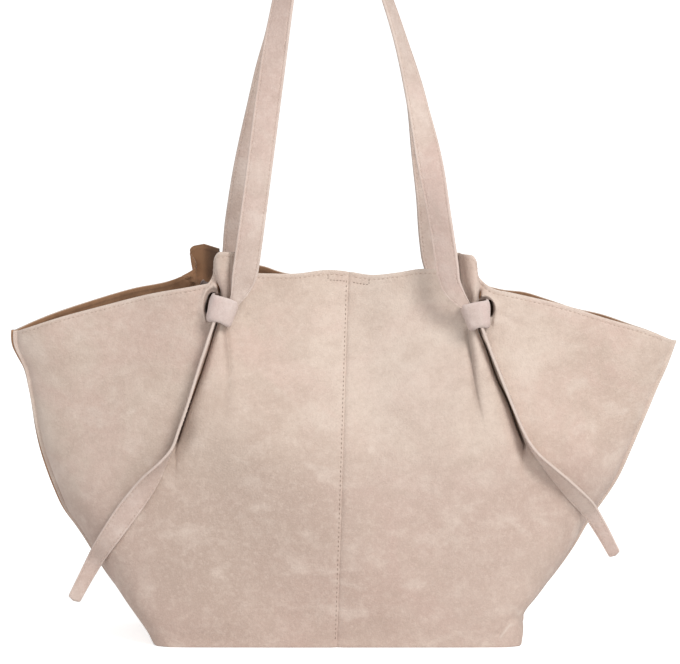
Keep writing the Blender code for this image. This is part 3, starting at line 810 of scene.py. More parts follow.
def panelGrid(side, face):
    # Rows go up by level. Columns go out from the seam, close together along the fold's outer line, then
    # round the corner and over the seam allowance. Gives the outer and the inner grid and their tones.
    level = rowLevels()[:, None]
    seam = seamX(level)
    edge = edgeX(side, level, face)
    knotShare = (knotX(side, face) - seamX(1)) / (edgeX(side, 1) - seamX(1))
    high = body["foot"] + (topHeight(side, face, knotShare) - body["foot"]) * level
    middle = knotX(side, face) + side["sign"] * (foldLines(side, face, high)[1] - body["columnsInside"])
    low = seam + (edge - seam) * 0.5
    middle = low + (middle - low) * above(level, 0.1, 0.4)
    stops = [
        seam + side["sign"] * body["seamGap"],
        middle - side["sign"] * body["closeColumns"],
        middle + side["sign"] * body["closeColumns"],
        seam + (edge - seam) * body["kneeShare"],
    ]
    columns = []
    for a, b, count in zip(stops, stops[1:], body["columns"]):
        columns.append(a + (b - a) * np.linspace(0, 1, count, endpoint=False))
    columns.append(stops[-1])
    flat, shade, wornAndLit = panelPoint(side, face, level, np.concatenate(columns, axis=1))
    weight = curveThrough(body["cornerShares"], level)
    around = conicPartner(body["kneeShare"], weight) * np.linspace(1, 0, body["cornerColumns"])[1:]
    arcX = seam + (edge - seam) * conicPartner(around, weight)
    arc, arcShade, arcHighlight = panelPoint(side, face, level, arcX, around)
    rim = np.repeat(arc[:, -1:], 3, axis=1)
    rim[..., 0] += side["sign"] * flangeAt(level) * np.array([0.34, 0.67, 1.0])
    grid = np.concatenate([flat, arc, rim], axis=1)
    shade = np.concatenate([shade, arcShade, 0 * rim[..., 0]], axis=1)
    # The painted highlights of the knots' lips and the boxed corner.
    wornAndLit = np.concatenate([wornAndLit, arcHighlight, 0 * rim[..., 0]], axis=1)
    normal = unit(np.cross(np.gradient(grid, axis=0), np.gradient(grid, axis=1)))
    normal *= np.sign(normal[..., 1:2].mean()) * face["sign"]
    nearEdge = ease((np.arange(grid.shape[1]) - body["edgeColumn"]) / 20)[None, :, None]
    normal = unit(blurred(normal, 9) * (1 - nearEdge) + normal * nearEdge)
    if face is backFace and side is leftSide:
        # The lobe bends over itself, so its thickness goes straight through the panel.
        aside = np.abs(grid[..., 0] - knotX(side, face))
        lobe = above(level, curl["level"], curl["levelEase"])
        lobe = lobe * ease((curl["reach"] - aside) / curl["reachEase"])
        normal = unit(normal * (1 - lobe[..., None]) + np.array([0, face["sign"], 0]) * lobe[..., None])
    inner = grid - normal * body["leather"]
    inner[:, -3:, 0] = grid[:, -3:, 0]
    inner[:, -3:, 1] = face["sign"] * 0.0001
    inner[:, -3:, 2] = grid[:, -3:, 2]
    wearAndHighlight, shade = outerTones(side, face, grid, level, shade, wornAndLit)
    return grid, inner, {"wearAndHighlight": wearAndHighlight, "shade": shade}, innerTones(side, face, inner, wearAndHighlight)


# Worn edges, painted light on the left front edge and the dark back edge: how far each reaches in and how
# strong it is.
edgeTone = {
    "wornAndLit": 0.0014,
    "paleWidth": 0.016,
    "pale": 0.5,
    "darkWidth": 0.008,
    "dark": 0.7,
    "darkStart": 0.07,
    "darkEase": 0.03,
    "darkGap": 0.182,
    "darkGapWidth": 0.016,
}
# The curled lobe at the back left: where it starts, and the painted light and shade on its inside.
curl = {
    "level": 0.76,
    "levelEase": 0.08,
    "reach": 0.036,
    "reachEase": 0.010,
    "height": 0.262,
    "heightEase": 0.010,
    "dark": 0.62,
    "darkTo": 0.006,
    "darkFrom": -0.024,
    "darkEase": 0.010,
    "paleFrom": 0.001,
    "paleFromEase": 0.006,
    "paleTo": 0.03,
    "paleToEase": 0.008,
}


def outerTones(side, face, grid, level, shade, wornAndLit):
    # The leather is worn along its top and side edges, and the painted highlights of the knots' lips and the
    # boxed corner join in. On the left a broad band of painted light lies along the front's edge, and the
    # back's edge, which shows beside it, is dark.
    run = np.cumsum(np.linalg.norm(np.diff(grid, axis=1, prepend=grid[:, :1]), axis=2), axis=1)
    fromSide = run[:, -1:] - run
    fromTop = (1 - level) * (body["mouthHeight"] - body["foot"]) + 0 * run
    edges = np.maximum(bell(fromTop, edgeTone["wornAndLit"]), bell(fromSide, edgeTone["wornAndLit"]))
    wearAndHighlight = np.maximum(edges, wornAndLit)
    if side is leftSide and face is backFace:
        z = grid[..., 2]
        shown = above(z, edgeTone["darkStart"], edgeTone["darkEase"])
        shown = shown * (1 - bell(z - edgeTone["darkGap"], edgeTone["darkGapWidth"]))
        shade = np.maximum(shade, edgeTone["dark"] * bell(fromSide, edgeTone["darkWidth"]) * shown)
    # Painted light: a broad pale band along the left front edge.
    if side is leftSide and face is frontFace:
        wearAndHighlight = np.maximum(wearAndHighlight, edgeTone["pale"] * bell(fromSide, edgeTone["paleWidth"]))
    return wearAndHighlight, shade


def innerTones(side, face, inner, wearAndHighlight):
    # The inside gets none of the painted shade of the slits. The curled lobe at the back left gets painted
    # light on its outer side and painted shade in its crease.
    if face is frontFace or side is rightSide:
        return {"wearAndHighlight": wearAndHighlight, "shade": 0 * wearAndHighlight}
    out = side["sign"] * (inner[..., 0] - knotX(side, face))
    raised = above(inner[..., 2], curl["height"], curl["heightEase"])
    dark = curl["dark"] * raised * ease((curl["darkTo"] - out) / curl["darkEase"])
    dark = dark * ease((out - curl["darkFrom"]) / curl["darkEase"])
    pale = raised * ease((out - curl["paleFrom"]) / curl["paleFromEase"])
    pale = pale * ease((curl["paleTo"] - out) / curl["paleToEase"])
    return {"wearAndHighlight": np.maximum(wearAndHighlight, pale), "shade": dark}


# Mesh makers

def settle(made, rider, slot, *nodes):
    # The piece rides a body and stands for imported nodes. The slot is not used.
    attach(made, rider)
    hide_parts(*nodes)


def quadsOf(index):
    # The faces of a grid of corners, or of many such grids.
    corners = [index[..., :-1, :-1], index[..., :-1, 1:], index[..., 1:, 1:], index[..., 1:, :-1]]
    return np.stack(corners, axis=-1).reshape(-1, 4)


def evenSteps(path, count):
    # The path in even steps, and a way to read other values at the same places.
    run = np.concatenate([[0], np.cumsum(np.linalg.norm(np.diff(path, axis=0), axis=1))])
    even = np.linspace(0, run[-1], count)
    centres = np.stack([np.interp(even, run, path[:, k]) for k in range(3)], axis=1)
    return centres, lambda values: np.interp(even, run, values)


def smoothed(values, times):
    # Each value between its neighbours, again and again. The ends stay.
    values = values.copy()
    for _ in range(times):
        values[1:-1] = (values[:-2] + 2 * values[1:-1] + values[2:]) / 4
    return values


def putMesh(name, points, faces, looks, faceLook=None, fields=None):
    # A mesh from arrays: corners, faces, the look of each face and named values at the corners.
    first = points[faces[:, 0]]
    turned = np.einsum("ij,ij->i", first, np.cross(points[faces[:, 1]], points[faces[:, 2]])).sum()
    if faces.shape[1] == 4:
        turned += np.einsum("ij,ij->i", first, np.cross(points[faces[:, 2]], points[faces[:, 3]])).sum()
    if turned < 0:
        faces = faces[:, ::-1]
    mesh = bpy.data.meshes.new(name)
    mesh.from_pydata(points, [], faces)
    for look in looks:
        mesh.materials.append(look)
    if faceLook is not None:
        mesh.polygons.foreach_set("material_index", faceLook.astype(np.int32))
    mesh.polygons.foreach_set("use_smooth", np.ones(len(faces), bool))
    for key, values in (fields or {}).items():
        field = mesh.attributes.new(key, "FLOAT", "POINT")
        field.data.foreach_set("value", np.ascontiguousarray(values, np.float32).ravel())
    mesh.update()
    made = bpy.data.objects.new(name, mesh)
    bpy.context.scene.collection.objects.link(made)
    return made


def slab(name, outer, inner, bulge, looks, fields, around=False, innerFields=None):
    # An outer and an inner grid, closed by a half round rim along every free edge.
    rows, cols = outer.shape[:2]
    count = rows * cols
    index = np.arange(count).reshape(rows, cols)
    wide = np.concatenate([index, index[:, :1]], axis=1) if around else index
    quads = quadsOf(wide)
    ends = [(index[0], outer[0] - outer[1]), (index[-1, ::-1], (outer[-1] - outer[-2])[::-1])]
    if around:
        loops = ends
    else:
        right = (index[:, -1], outer[:, -1] - outer[:, -2])
        left = (index[::-1, 0], (outer[:, 0] - outer[:, 1])[::-1])
        order = (ends[0], right, ends[1], left)
        loops = [(np.concatenate([o[0][:-1] for o in order]), np.concatenate([o[1][:-1] for o in order]))]
    points = [outer.reshape(-1, 3), inner.reshape(-1, 3)]
    faces = [quads, quads[:, ::-1] + count]
    values = {key: [v.ravel(), (innerFields or fields)[key].ravel()] for key, v in fields.items()}
    total = 2 * count
    for loop, direction in loops:
        direction = unit(direction)
        start, end = points[0][loop], points[1][loop]
        rings = [loop]
        for angle in np.pi * np.array([0.25, 0.5, 0.75]):
            ring = start * (1 + math.cos(angle)) / 2 + end * (1 - math.cos(angle)) / 2
            points.append(ring + direction * bulge * math.sin(angle))
            rings.append(np.arange(total, total + len(loop)))
            total += len(loop)
            for key, v in fields.items():
                values[key].append(v.ravel()[loop])
        rings.append(loop + count)
        for a, b in zip(rings, rings[1:]):
            faces.append(np.stack([np.roll(a, -1), a, b, np.roll(b, -1)], axis=1))
    sizes = [len(part) for part in faces]
    faceLook = np.zeros(sum(sizes), int)
    faceLook[sizes[0]:sizes[0] + sizes[1]] = 1
    made = {key: np.concatenate(v) for key, v in values.items()}
    return putMesh(name, np.concatenate(points), np.concatenate(faces), looks, faceLook, made)


def sweep(name, grid, looks, fields):
    # A closed ring carried along a path, one row a step, with a fan over each end.
    rows, cols = grid.shape[:2]
    index = np.arange(rows * cols).reshape(rows, cols)
    wide = np.concatenate([index, index[:, :1]], axis=1)
    quads = quadsOf(wide)
    points = [grid.reshape(-1, 3), grid[0].mean(axis=0)[None], grid[-1].mean(axis=0)[None]]
    values = {}
    for key, field in fields.items():
        values[key] = np.concatenate([field.ravel(), field[0].mean()[None], field[-1].mean()[None]])
    ends = []
    for ring, centre in ((wide[0], rows * cols), (wide[-1, ::-1], rows * cols + 1)):
        middle = np.full(cols // 2, centre)
        ends.append(np.stack([ring[2::2], ring[1:-1:2], ring[:-2:2], middle], axis=1))
    return putMesh(name, np.concatenate(points), np.concatenate([quads] + ends), looks, None, values)


def stitches(name, points, along, normal, look, scale=1.0):
    # One small bead, bent so that its ends dive into the leather, set down at every point.
    ring = np.linspace(0, 2 * np.pi, 6, endpoint=False)
    run = np.linspace(-0.92, 0.92, 5)[:, None]
    swell = np.sqrt(1 - run**4)
    bead = np.stack([
        run * stitch["length"] / 2 + 0 * ring,
        swell * np.cos(ring) * stitch["width"] / 2,
        swell * np.sin(ring) * stitch["height"] / 2 + stitch["height"] * (0.42 - 0.75 * run**2),
    ], axis=-1) * scale
    along, normal = unit(along), unit(normal)
    across = np.cross(normal, along)
    axes = np.stack([along, across, normal], axis=1)
    rings = np.einsum("abk,nkc->nabc", bead, axes) + points[:, None, None, :]
    index = np.arange(len(points) * run.size * ring.size).reshape(len(points), run.size, ring.size)
    wide = np.concatenate([index, index[..., :1]], axis=2)
    first, last = index[:, 0], index[:, -1]
    caps = [first[:, [0, 5, 4, 3]], first[:, [3, 2, 1, 0]], last[:, [0, 1, 2, 3]], last[:, [3, 4, 5, 0]]]
    return putMesh(name, rings.reshape(-1, 3), np.concatenate([quadsOf(wide)] + caps), [look])


def spaced(path, pitch):
    # Even places along a path, its direction there, and a way to read other values at the same places.
    run = np.concatenate([[0], np.cumsum(np.linalg.norm(np.diff(path, axis=0), axis=1))])
    at = np.arange(pitch * 0.7, run[-1] - pitch * 0.4, pitch)
    read = lambda values: np.stack([np.interp(at, run, values[:, k]) for k in range(3)], axis=1)
    return read(path), read(np.gradient(path, run, axis=0)), read


# Materials

class Wire:
    # A socket in an expression: each operator adds a Math node.
    def __init__(self, paint, socket):
        self.paint = paint
        self.socket = socket

    def maths(self, operation, first, second):
        return self.paint.node("ShaderNodeMath", {"operation": operation}, {0: first, 1: second})

    def __add__(self, other):
        return self.maths("ADD", self, other)

    __radd__ = __add__

    def __sub__(self, other):
        return self.maths("SUBTRACT", self, other)

    def __rsub__(self, other):
        return self.maths("SUBTRACT", other, self)

    def __mul__(self, other):
        return self.maths("MULTIPLY", self, other)

    __rmul__ = __mul__

    def part(self, axis):
        return self.paint.node("ShaderNodeSeparateXYZ", {}, {0: self}, output=axis)

    def between(self, low, high):
        # 0 at low, 1 at high, eased between and held outside.
        settings = {"interpolation_type": "SMOOTHSTEP"}
        return self.paint.node("ShaderNodeMapRange", settings, {0: self, 1: low, 2: high})

    def ramp(self, values):
        # From 0 at the first value up to the third value at the second.
        return self.between(values[0], values[1]) * values[2]


class Paint:
    # A material and its nodes.
    def __init__(self, name):
        self.made = bpy.data.materials.new(name)
        self.made.use_nodes = True
        self.tree = self.made.node_tree
        self.shader = self.tree.nodes["Principled BSDF"]
        self.place = self.node("ShaderNodeTexCoord", output="Object")

    def node(self, kind, settings=None, inputs=None, output=0):
        made = self.tree.nodes.new(kind)
        for key, value in (settings or {}).items():
            setattr(made, key, value)
        for key, value in (inputs or {}).items():
            self.feed(made.inputs[key], value)
        return Wire(self, made.outputs[output])

    def feed(self, socket, value):
        if isinstance(value, Wire):
            self.tree.links.new(value.socket, socket)
        else:
            socket.default_value = value

    def noise(self, scale, detail=3.0, roughness=0.5, distortion=0.0, shift=0.0, stretch=None):
        place = self.place
        if shift or stretch:
            size = stretch or (1, 1, 1)
            inputs = {"Vector": place, "Location": (shift, shift * 0.7, -shift), "Scale": size}
            place = self.node("ShaderNodeMapping", {}, inputs)
        inputs = {"Vector": place, "Scale": scale, "Detail": detail, "Roughness": roughness}
        inputs["Distortion"] = distortion
        return self.node("ShaderNodeTexNoise", {}, inputs)

    def cells(self, scale, smooth=0.4):
        inputs = {"Vector": self.place, "Scale": scale, "Smoothness": smooth}
        return self.node("ShaderNodeTexVoronoi", {"feature": "SMOOTH_F1"}, inputs)

    def mix(self, first, second, factor):
        settings = {"data_type": "RGBA"}
        full = lambda c: c if isinstance(c, Wire) else (*c, 1.0)
        return self.node("ShaderNodeMix", settings, {0: factor, 6: full(first), 7: full(second)}, output=2)

    def distance(self, place):
        inputs = {0: self.place, 1: place}
        return self.node("ShaderNodeVectorMath", {"operation": "DISTANCE"}, inputs, output=1)

    def field(self, name):
        return self.node("ShaderNodeAttribute", {"attribute_name": name}, output="Fac")

    def bump(self, height, distance):
        return self.node("ShaderNodeBump", {}, {"Height": height, "Distance": distance, "Strength": 1.0})

    def done(self, **sockets):
        for key, value in sockets.items():
            self.feed(self.shader.inputs[key.replace("_", " ")], value)
        return self.made


# The suede's colours, scales and strengths. A ramp is where a noise or place starts and ends to count, and
# where it has a third value, that is the share of the colour it mixes in.
suedeLook = {
    "pale": (0.600, 0.490, 0.418),
    "deep": (0.520, 0.405, 0.340),
    "blush": (0.585, 0.428, 0.372),
    "wornAndLit": (0.660, 0.560, 0.492),
    # hollow: the brown of the painted shade in the gaps, slits and creases.
    "hollow": (0.085, 0.050, 0.036),
    "grainScale": 620,
    "grainDepth": 0.00026,
    "cloudScale": 9.0,
    "patchScale": 21.0,
    "cloudRamp": (0.40, 0.58),
    "blushRamp": (0.42, 0.62),
    "blushShare": 0.6,
    "lowShadeRamp": (0.150, 0.190),
    "lowShadeTone": 0.78,
    "litRamp": (0.03, 0.15),
    "litShare": 0.12,
    "lightPlace": (0.055, 0.0, 0.205),
    "lightReach": 0.18,
    "lightShare": 0.5,
    "duskPlace": (-0.085, -0.05, 0.095),
    "duskReach": 0.15,
    "duskTone": 0.84,
    "duskShare": 0.62,
    "leftShadeRamp": (-0.11, 0.03),
    "leftShadeTone": 0.86,
    "scuffScale": 46,
    "scuffPale": (0.50, 0.70, 0.44),
    "scuffDark": (0.50, 0.68, 0.30),
    "mottles": ((120, 0.15, 0.11), (290, 0.17, 0.13)),
    "mottleRamp": (0.50, 0.68),
    "speckDark": (0.50, 0.76, 0.24),
    "speckPale": (0.50, 0.74, 0.28),
    "wearAndHighlightShare": 0.55,
    "creaseScale": 85,
}


def suede(name, tint=(1.0, 1.0, 1.0), low=0.6, dusk=0.0):
    # Clouds of pale and deep beige with blush patches, fine pebble grain and pale rubbed edges. Painted light
    # and
    # shade: darker low and to the left on the bag, paler to the right and round the upper middle, pale
    # highlights and brown shade in the hollows.
    looks = suedeLook
    paint = Paint(name)
    tone = lambda colour, by=1.0: tuple(min(v * t * by, 0.95) for v, t in zip(colour, tint))
    large = paint.noise(looks["cloudScale"], 3, 0.55, 0.6)
    patches = paint.noise(looks["patchScale"], 4, 0.6, 0.5, 3.1)
    clouds = (large * 0.4 + patches * 0.6).between(*looks["cloudRamp"])
    colour = paint.mix(tone(looks["deep"]), tone(looks["pale"]), clouds)
    blush = paint.noise(looks["patchScale"] * 0.6, 4, 0.6, 0.9, 7.7).between(*looks["blushRamp"])
    colour = paint.mix(colour, tone(looks["blush"]), blush * looks["blushShare"])
    if low:
        # Painted shade: darker and pinker low on the bag.
        height = paint.place.part(2) - paint.place.part(0) * 0.05
        lowShade = 1 - (height + patches * 0.05 + large * 0.03).between(*looks["lowShadeRamp"])
        colour = paint.mix(colour, tone(looks["blush"], looks["lowShadeTone"]), lowShade * low)
        # Painted shade: darker round the lower left of the bag.
        dark = 1 - (paint.distance(looks["duskPlace"]) + patches * 0.04).between(0.04, looks["duskReach"])
        colour = paint.mix(colour, tone(looks["deep"], looks["duskTone"]), dark * looks["duskShare"])
        # Painted light: paler towards the right of the bag.
        lit = (paint.place.part(0) - height * 0.7).between(*looks["litRamp"])
        colour = paint.mix(colour, tone(looks["wornAndLit"]), lit * looks["litShare"])
        # Painted light: a pale pool round the upper middle, right of the seam.
        pale = 1 - (paint.distance(looks["lightPlace"]) + patches * 0.05).between(0.05, looks["lightReach"])
        colour = paint.mix(colour, tone(looks["wornAndLit"]), pale * looks["lightShare"])
    if dusk:
        # Painted shade: darker towards the left of the bag.
        dull = 1 - (paint.place.part(0) + patches * 0.04).between(*looks["leftShadeRamp"])
        colour = paint.mix(colour, tone(looks["deep"], looks["leftShadeTone"]), dull * dusk)
    scuff = paint.noise(looks["scuffScale"], 4, 0.6, 0.3, 1.3, (0.75, 1, 1.15))
    colour = paint.mix(colour, tone(looks["wornAndLit"]), scuff.ramp(looks["scuffPale"]))
    colour = paint.mix(colour, tone(looks["deep"], 0.9), (1 - scuff).ramp(looks["scuffDark"]))
    for size, light, dark in looks["mottles"]:
        mottle = paint.noise(size, 2, 0.55, 0.2, size * 0.01)
        paler = mottle.between(*looks["mottleRamp"])
        deeper = (1 - mottle).between(*looks["mottleRamp"])
        colour = paint.mix(colour, tone(looks["wornAndLit"], 1.05), paler * light)
        colour = paint.mix(colour, tone(looks["deep"], 0.84), deeper * dark)
    speck = paint.noise(looks["grainScale"] * 1.6, 3, 0.7)
    colour = paint.mix(colour, tone(looks["deep"], 0.66), speck.ramp(looks["speckDark"]))
    colour = paint.mix(colour, tone(looks["wornAndLit"], 1.12), (1 - speck).ramp(looks["speckPale"]))
    # Real rubbed edges and painted highlights from the attribute, in the pale worn colour.
    colour = paint.mix(colour, tone(looks["wornAndLit"]), paint.field("wearAndHighlight") * looks["wearAndHighlightShare"])
    # Painted shade in the hollow brown, from the shade attribute.
    colour = paint.mix(colour, looks["hollow"], paint.field("shade"))
    pebble = paint.cells(looks["grainScale"]) * -0.8
    nap = paint.noise(looks["grainScale"] * 2.4, 2, 0.6)
    crease = paint.noise(looks["creaseScale"], 5, 0.62, 0.5)
    height = pebble + nap * 0.45 + crease * 1.3
    normal = paint.bump(height, looks["grainDepth"])
    rough = 0.98 - nap.between(0.3, 0.8) * 0.12
    return paint.done(
        Base_Color=colour, Roughness=rough, Normal=normal,
        Sheen_Weight=0.12, Sheen_Roughness=0.5, Specular_IOR_Level=0.15,
    )


def lining(name, pale=(0.34, 0.185, 0.100), deep=(0.22, 0.115, 0.060)):
    # Tan flesh side of the leather: short fibres, soft blotches.
    paint = Paint(name)
    cloud = (paint.noise(14, 4, 0.6, 0.4) * 0.7 + paint.noise(160, 3, 0.6) * 0.3).between(0.36, 0.64)
    colour = paint.mix(deep, pale, cloud)
    fibre = paint.noise(900, 3, 0.7, 0.8)
    colour = paint.mix(colour, tuple(v * 1.35 for v in pale), fibre.between(0.55, 0.8) * 0.35)
    # Real rubbed edges and painted light from the attribute.
    colour = paint.mix(colour, tuple(v * 1.5 for v in pale), paint.field("wearAndHighlight") * 0.6)
    # Painted shade from the shade attribute.
    colour = paint.mix(colour, (0.05, 0.03, 0.022), paint.field("shade"))
    height = fibre + paint.noise(240, 3, 0.6) * 0.8
    rough = 0.94 - fibre * 0.1
    grain = paint.bump(height, 0.0002)
    return paint.done(Base_Color=colour, Roughness=rough, Normal=grain, Sheen_Weight=0.15)


def thread(name, pale=(0.62, 0.50, 0.42), deep=(0.40, 0.30, 0.245)):
    # Twisted thread: slanting light and dark plies.
    paint = Paint(name)
    ply = paint.noise(2600, 2, 0.6, 0.0, 0.0, (1, 1, 0.35))
    colour = paint.mix(deep, pale, ply.between(0.35, 0.65))
    return paint.done(Base_Color=colour, Roughness=0.75 - ply * 0.2, Normal=paint.bump(ply, 0.0001))


def steel(name):
    # Plated magnet: fine turned lines and a few dull spots.
    paint = Paint(name)
    lines = paint.noise(900, 2, 0.6, 0.0, 0.0, (1, 0.05, 1))
    spots = paint.noise(60, 4, 0.6).between(0.55, 0.75)
    colour = paint.mix((0.72, 0.70, 0.66), (0.42, 0.40, 0.37), spots)
    rough = lines * 0.25 + 0.2
    return paint.done(Base_Color=colour, Metallic=1.0, Roughness=rough, Normal=paint.bump(lines, 0.00004))


# dusk is the strength of the painted shade towards the left of the bag.
panelSuede = suede("body_suede", dusk=0.14)
strapSuede = suede("strap_suede", (1.0, 1.0, 1.03), 0, 0.36)
bandSuede = suede("band_suede", (1.0, 1.02, 1.10), 0)
innerLeather = lining("inner_leather")
boardCover = lining("board_cover", (0.30, 0.20, 0.14), (0.20, 0.13, 0.09))
bodyThread = thread("body_thread")
seamThread = thread("seam_thread", (0.36, 0.27, 0.22), (0.20, 0.14, 0.11))
strapThread = thread("strap_thread", (0.66, 0.53, 0.46), (0.45, 0.34, 0.28))
magnetSteel = steel("magnet_steel")
print("materials made:", len(bpy.data.materials))


# Panels and their seams

def surfacePath(side, face, level, x):
    # A line on the panel with the direction out of the leather beside it.
    level = np.broadcast_to(np.asarray(level, float), np.shape(x) or np.shape(level))
    x = np.broadcast_to(np.asarray(x, float), level.shape)
    here = panelPoint(side, face, level, x)[0]
    beside = panelPoint(side, face, level, x + 0.0004)[0]
    under = panelPoint(side, face, level - 0.0012, x)[0]
    normal = unit(np.cross(beside - here, under - here))
    normal *= np.sign(normal[:, 1:2]) * face["sign"]
    return here, normal


def makePanel(side, face):
    grid, inner, tones, insideTones = panelGrid(side, face)
    name = f"{face['name']}_{side['name']}_shell"
    made = slab(name, grid, inner, body["rimBulge"], [panelSuede, innerLeather], tones, False, insideTones)
    settle(made, "bag", "body_suede", f"{face['name']}_{side['name']}_panel")
    rowLevel = 1 - stitch["edgeInset"] / (body["mouthHeight"] - body["foot"])
    tip = edgeX(side, rowLevel) * stitch["edgeEndShare"]
    x = np.linspace(seamX(rowLevel) + side["sign"] * 0.003, tip, 900)
    path, normal = surfacePath(side, face, np.full(len(x), rowLevel), x)
    points, along, read = spaced(path, stitch["pitch"])
    row = stitches(f"{face['name']}_{side['name']}_edge_stitches", points, along, read(normal), bodyThread)
    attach(row, "bag")


def makeCentreSeam(face):
    # One row of dark stitches on the left panel, beside the seam.
    level = np.linspace(*stitch["centreLevels"], 500)
    path, normal = surfacePath(leftSide, face, level, seamX(level) - stitch["centreInset"])
    points, along, read = spaced(path, stitch["pitch"] * stitch["centrePitchShare"])
    name = f"{face['name']}_centre_stitches"
    row = stitches(name, points, along, read(normal), seamThread, stitch["centreThreadShare"])
    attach(row, "bag")


closure = {
    "left": (0.0012, -0.0125),
    "right": (0.0056, 0.0186),
    "drop": 0.0072,
    "runPitchShare": 0.7,
    "endPitchShare": 0.55,
    "threadShare": 0.8,
}


def makeClosureSeam(face):
    # The stitched rectangle that holds the magnet's tab: a lower run and a short end up to the edge row
    # on either side.
    size = body["mouthHeight"] - body["foot"]
    low = 1 - closure["drop"] / size
    high = 1 - stitch["edgeInset"] / size
    made = []
    for side in (leftSide, rightSide):
        near, far = closure[side["name"]]
        run = (np.linspace(near, far, 60), np.full(60, low), closure["runPitchShare"])
        end = (np.full(20, far), np.linspace(low, high, 20), closure["endPitchShare"])
        for x, level, pitchShare in (run, end):
            path, normal = surfacePath(side, face, level, x)
            points, along, read = spaced(path, stitch["pitch"] * pitchShare)
            made.append((points, along, read(normal)))
    rows = [np.concatenate(part) for part in zip(*made)]
    row = stitches(f"{face['name']}_closure_stitches", *rows, seamThread, closure["threadShare"])
    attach(row, "bag")


def makeTab(face):
    # The leather tab that carries the magnet: a flat sheet with its sides rounded in at both ends.
    name = f"{face['name']}_magnet_tab"
    low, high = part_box(name)
    middle = (np.array(low) + np.array(high)) / 2
    top, bottom = high[2] - tab["lowered"], low[2]
    u = np.linspace(-1, 1, 40)[None, :]
    v = np.linspace(-1, 1, 56)[:, None]
    x = middle[0] + (high[0] - low[0]) / 2 * u * (1 - tab["rounding"] * np.abs(v) ** tab["endPower"])
    z = (top + bottom) / 2 + (top - bottom) / 2 * v * (1 - tab["rounding"] * np.abs(u) ** tab["sidePower"])
    front, back = (low[1], high[1]) if face is frontFace else (high[1], low[1])
    outer = np.stack([x, 0 * x + front, z], axis=-1)
    inner = np.stack([x, 0 * x + back, z], axis=-1)
    wearAndHighlight = np.maximum(bell(1 - np.abs(u), 0.05) + 0 * v, bell(1 - np.abs(v), 0.04) + 0 * u)
    tones = {"wearAndHighlight": wearAndHighlight, "shade": 0 * wearAndHighlight}
    made = slab(name + "_leather", outer, inner, tab["bulge"], [innerLeather, innerLeather], tones)
    settle(made, "bag", "inner_leather", name)


def untouched(grid):
    # Tones of leather with no worn, highlighted or shaded places.
    return {"wearAndHighlight": 0 * grid, "shade": 0 * grid}


def makeSideTape(side):
    # A folded strip inside the side seam. Its halves lie along the two panels, up to the mouth.
    level = np.linspace(*sideTape["levels"], 160)[:, None]
    t = np.linspace(-1, 1, 15)[None, :]
    edge = edgeX(side, level)
    x = edge - side["sign"] * (sideTape["start"] + sideTape["reach"] * np.abs(t) ** 1.6)
    rows = [np.abs(panelPoint(side, face, level, x)[0][..., 1]) for face in (frontFace, backFace)]
    room = np.minimum(*rows) - body["leather"] * 1.25 - sideTape["thickness"]
    y = np.sign(t) * np.minimum(np.abs(t) * sideTape["width"], np.maximum(room, 0.0001 * np.abs(t)))
    z = panelPoint(side, frontFace, level, edge - side["sign"] * 0.004)[0][..., 2] + 0 * t
    inner = np.stack([x, y, z], axis=-1)
    normal = unit(np.cross(np.gradient(inner, axis=0), np.gradient(inner, axis=1)))
    normal *= np.sign(normal[..., 0:1]) * side["sign"]
    outer = inner + normal * sideTape["thickness"]
    name = f"{side['name']}_side_seam_tape"
    made = slab(name + "_strip", outer, inner, 0.0002, [innerLeather, innerLeather], untouched(x))
    settle(made, "bag", "inner_leather", name)


def makeCentreTape(face):
    # A strip inside the centre seam, laid against the two panels from the base to under the magnet's tab.
    name = f"{face['name']}_centre_seam_tape"
    low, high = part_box(name)
    top = (high[2] - body["foot"]) / (body["mouthHeight"] - body["foot"]) * centreTape["topShare"]
    level = np.linspace(centreTape["foot"], top, 150)[:, None]
    t = np.linspace(-1, 1, 9)[None, :]
    middle = slice(4, 5)
    x = seamX(level) + t * (high[0] - low[0]) / 2 * centreTape["widthShare"]
    left = panelPoint(leftSide, face, level, x)[0]
    right = panelPoint(rightSide, face, level, x)[0]
    laid = np.where(t[..., None] < 0, left, right)
    depth = np.minimum(np.abs(left[..., 1]), np.abs(right[..., 1]))
    depth = np.minimum(depth, depth[:, middle] + 0.0012) - body["leather"] - centreTape["gap"]
    outer = np.stack([laid[..., 0], face["sign"] * depth, laid[..., 2]], axis=-1)
    inner = outer - np.array([0, face["sign"] * centreTape["thickness"], 0])
    made = slab(name + "_strip", outer, inner, 0.0002, [innerLeather, innerLeather], untouched(x))
    settle(made, "bag", "inner_leather", name)


def footLine(face, inset):
    # The line of the panels' feet from left to right, moved in by the inset.
    lines = [panelGrid(side, face)[0][0, :-3] for side in (leftSide, rightSide)]
    line = np.concatenate([lines[0][::-1], lines[1]])
    along = unit(np.gradient(line * np.array([1, 1, 0]), axis=0))
    inward = np.stack([along[:, 1], -along[:, 0], 0 * along[:, 0]], axis=1) * face["sign"]
    return line + inward * inset


def makeBase(name, inset, low, high, look, slot):
    # A flat sheet inside the line of the panels' feet.
    front, back = footLine(frontFace, inset), footLine(backFace, inset)
    front[:, 1] = np.minimum(front[:, 1], -0.0005)
    back[:, 1] = np.maximum(back[:, 1], 0.0005)
    v = np.linspace(0, 1, 40)[:, None, None]
    sheet = front * (1 - v) + back * v
    outer = np.stack([sheet[..., 0], sheet[..., 1], 0 * sheet[..., 0] + low], axis=-1)
    inner = np.stack([sheet[..., 0], sheet[..., 1], 0 * sheet[..., 0] + high], axis=-1)
    made = slab(name + "_sheet", outer, inner, 0.0003, [look, look], untouched(sheet[..., 0]))
    settle(made, "bag", slot, name)


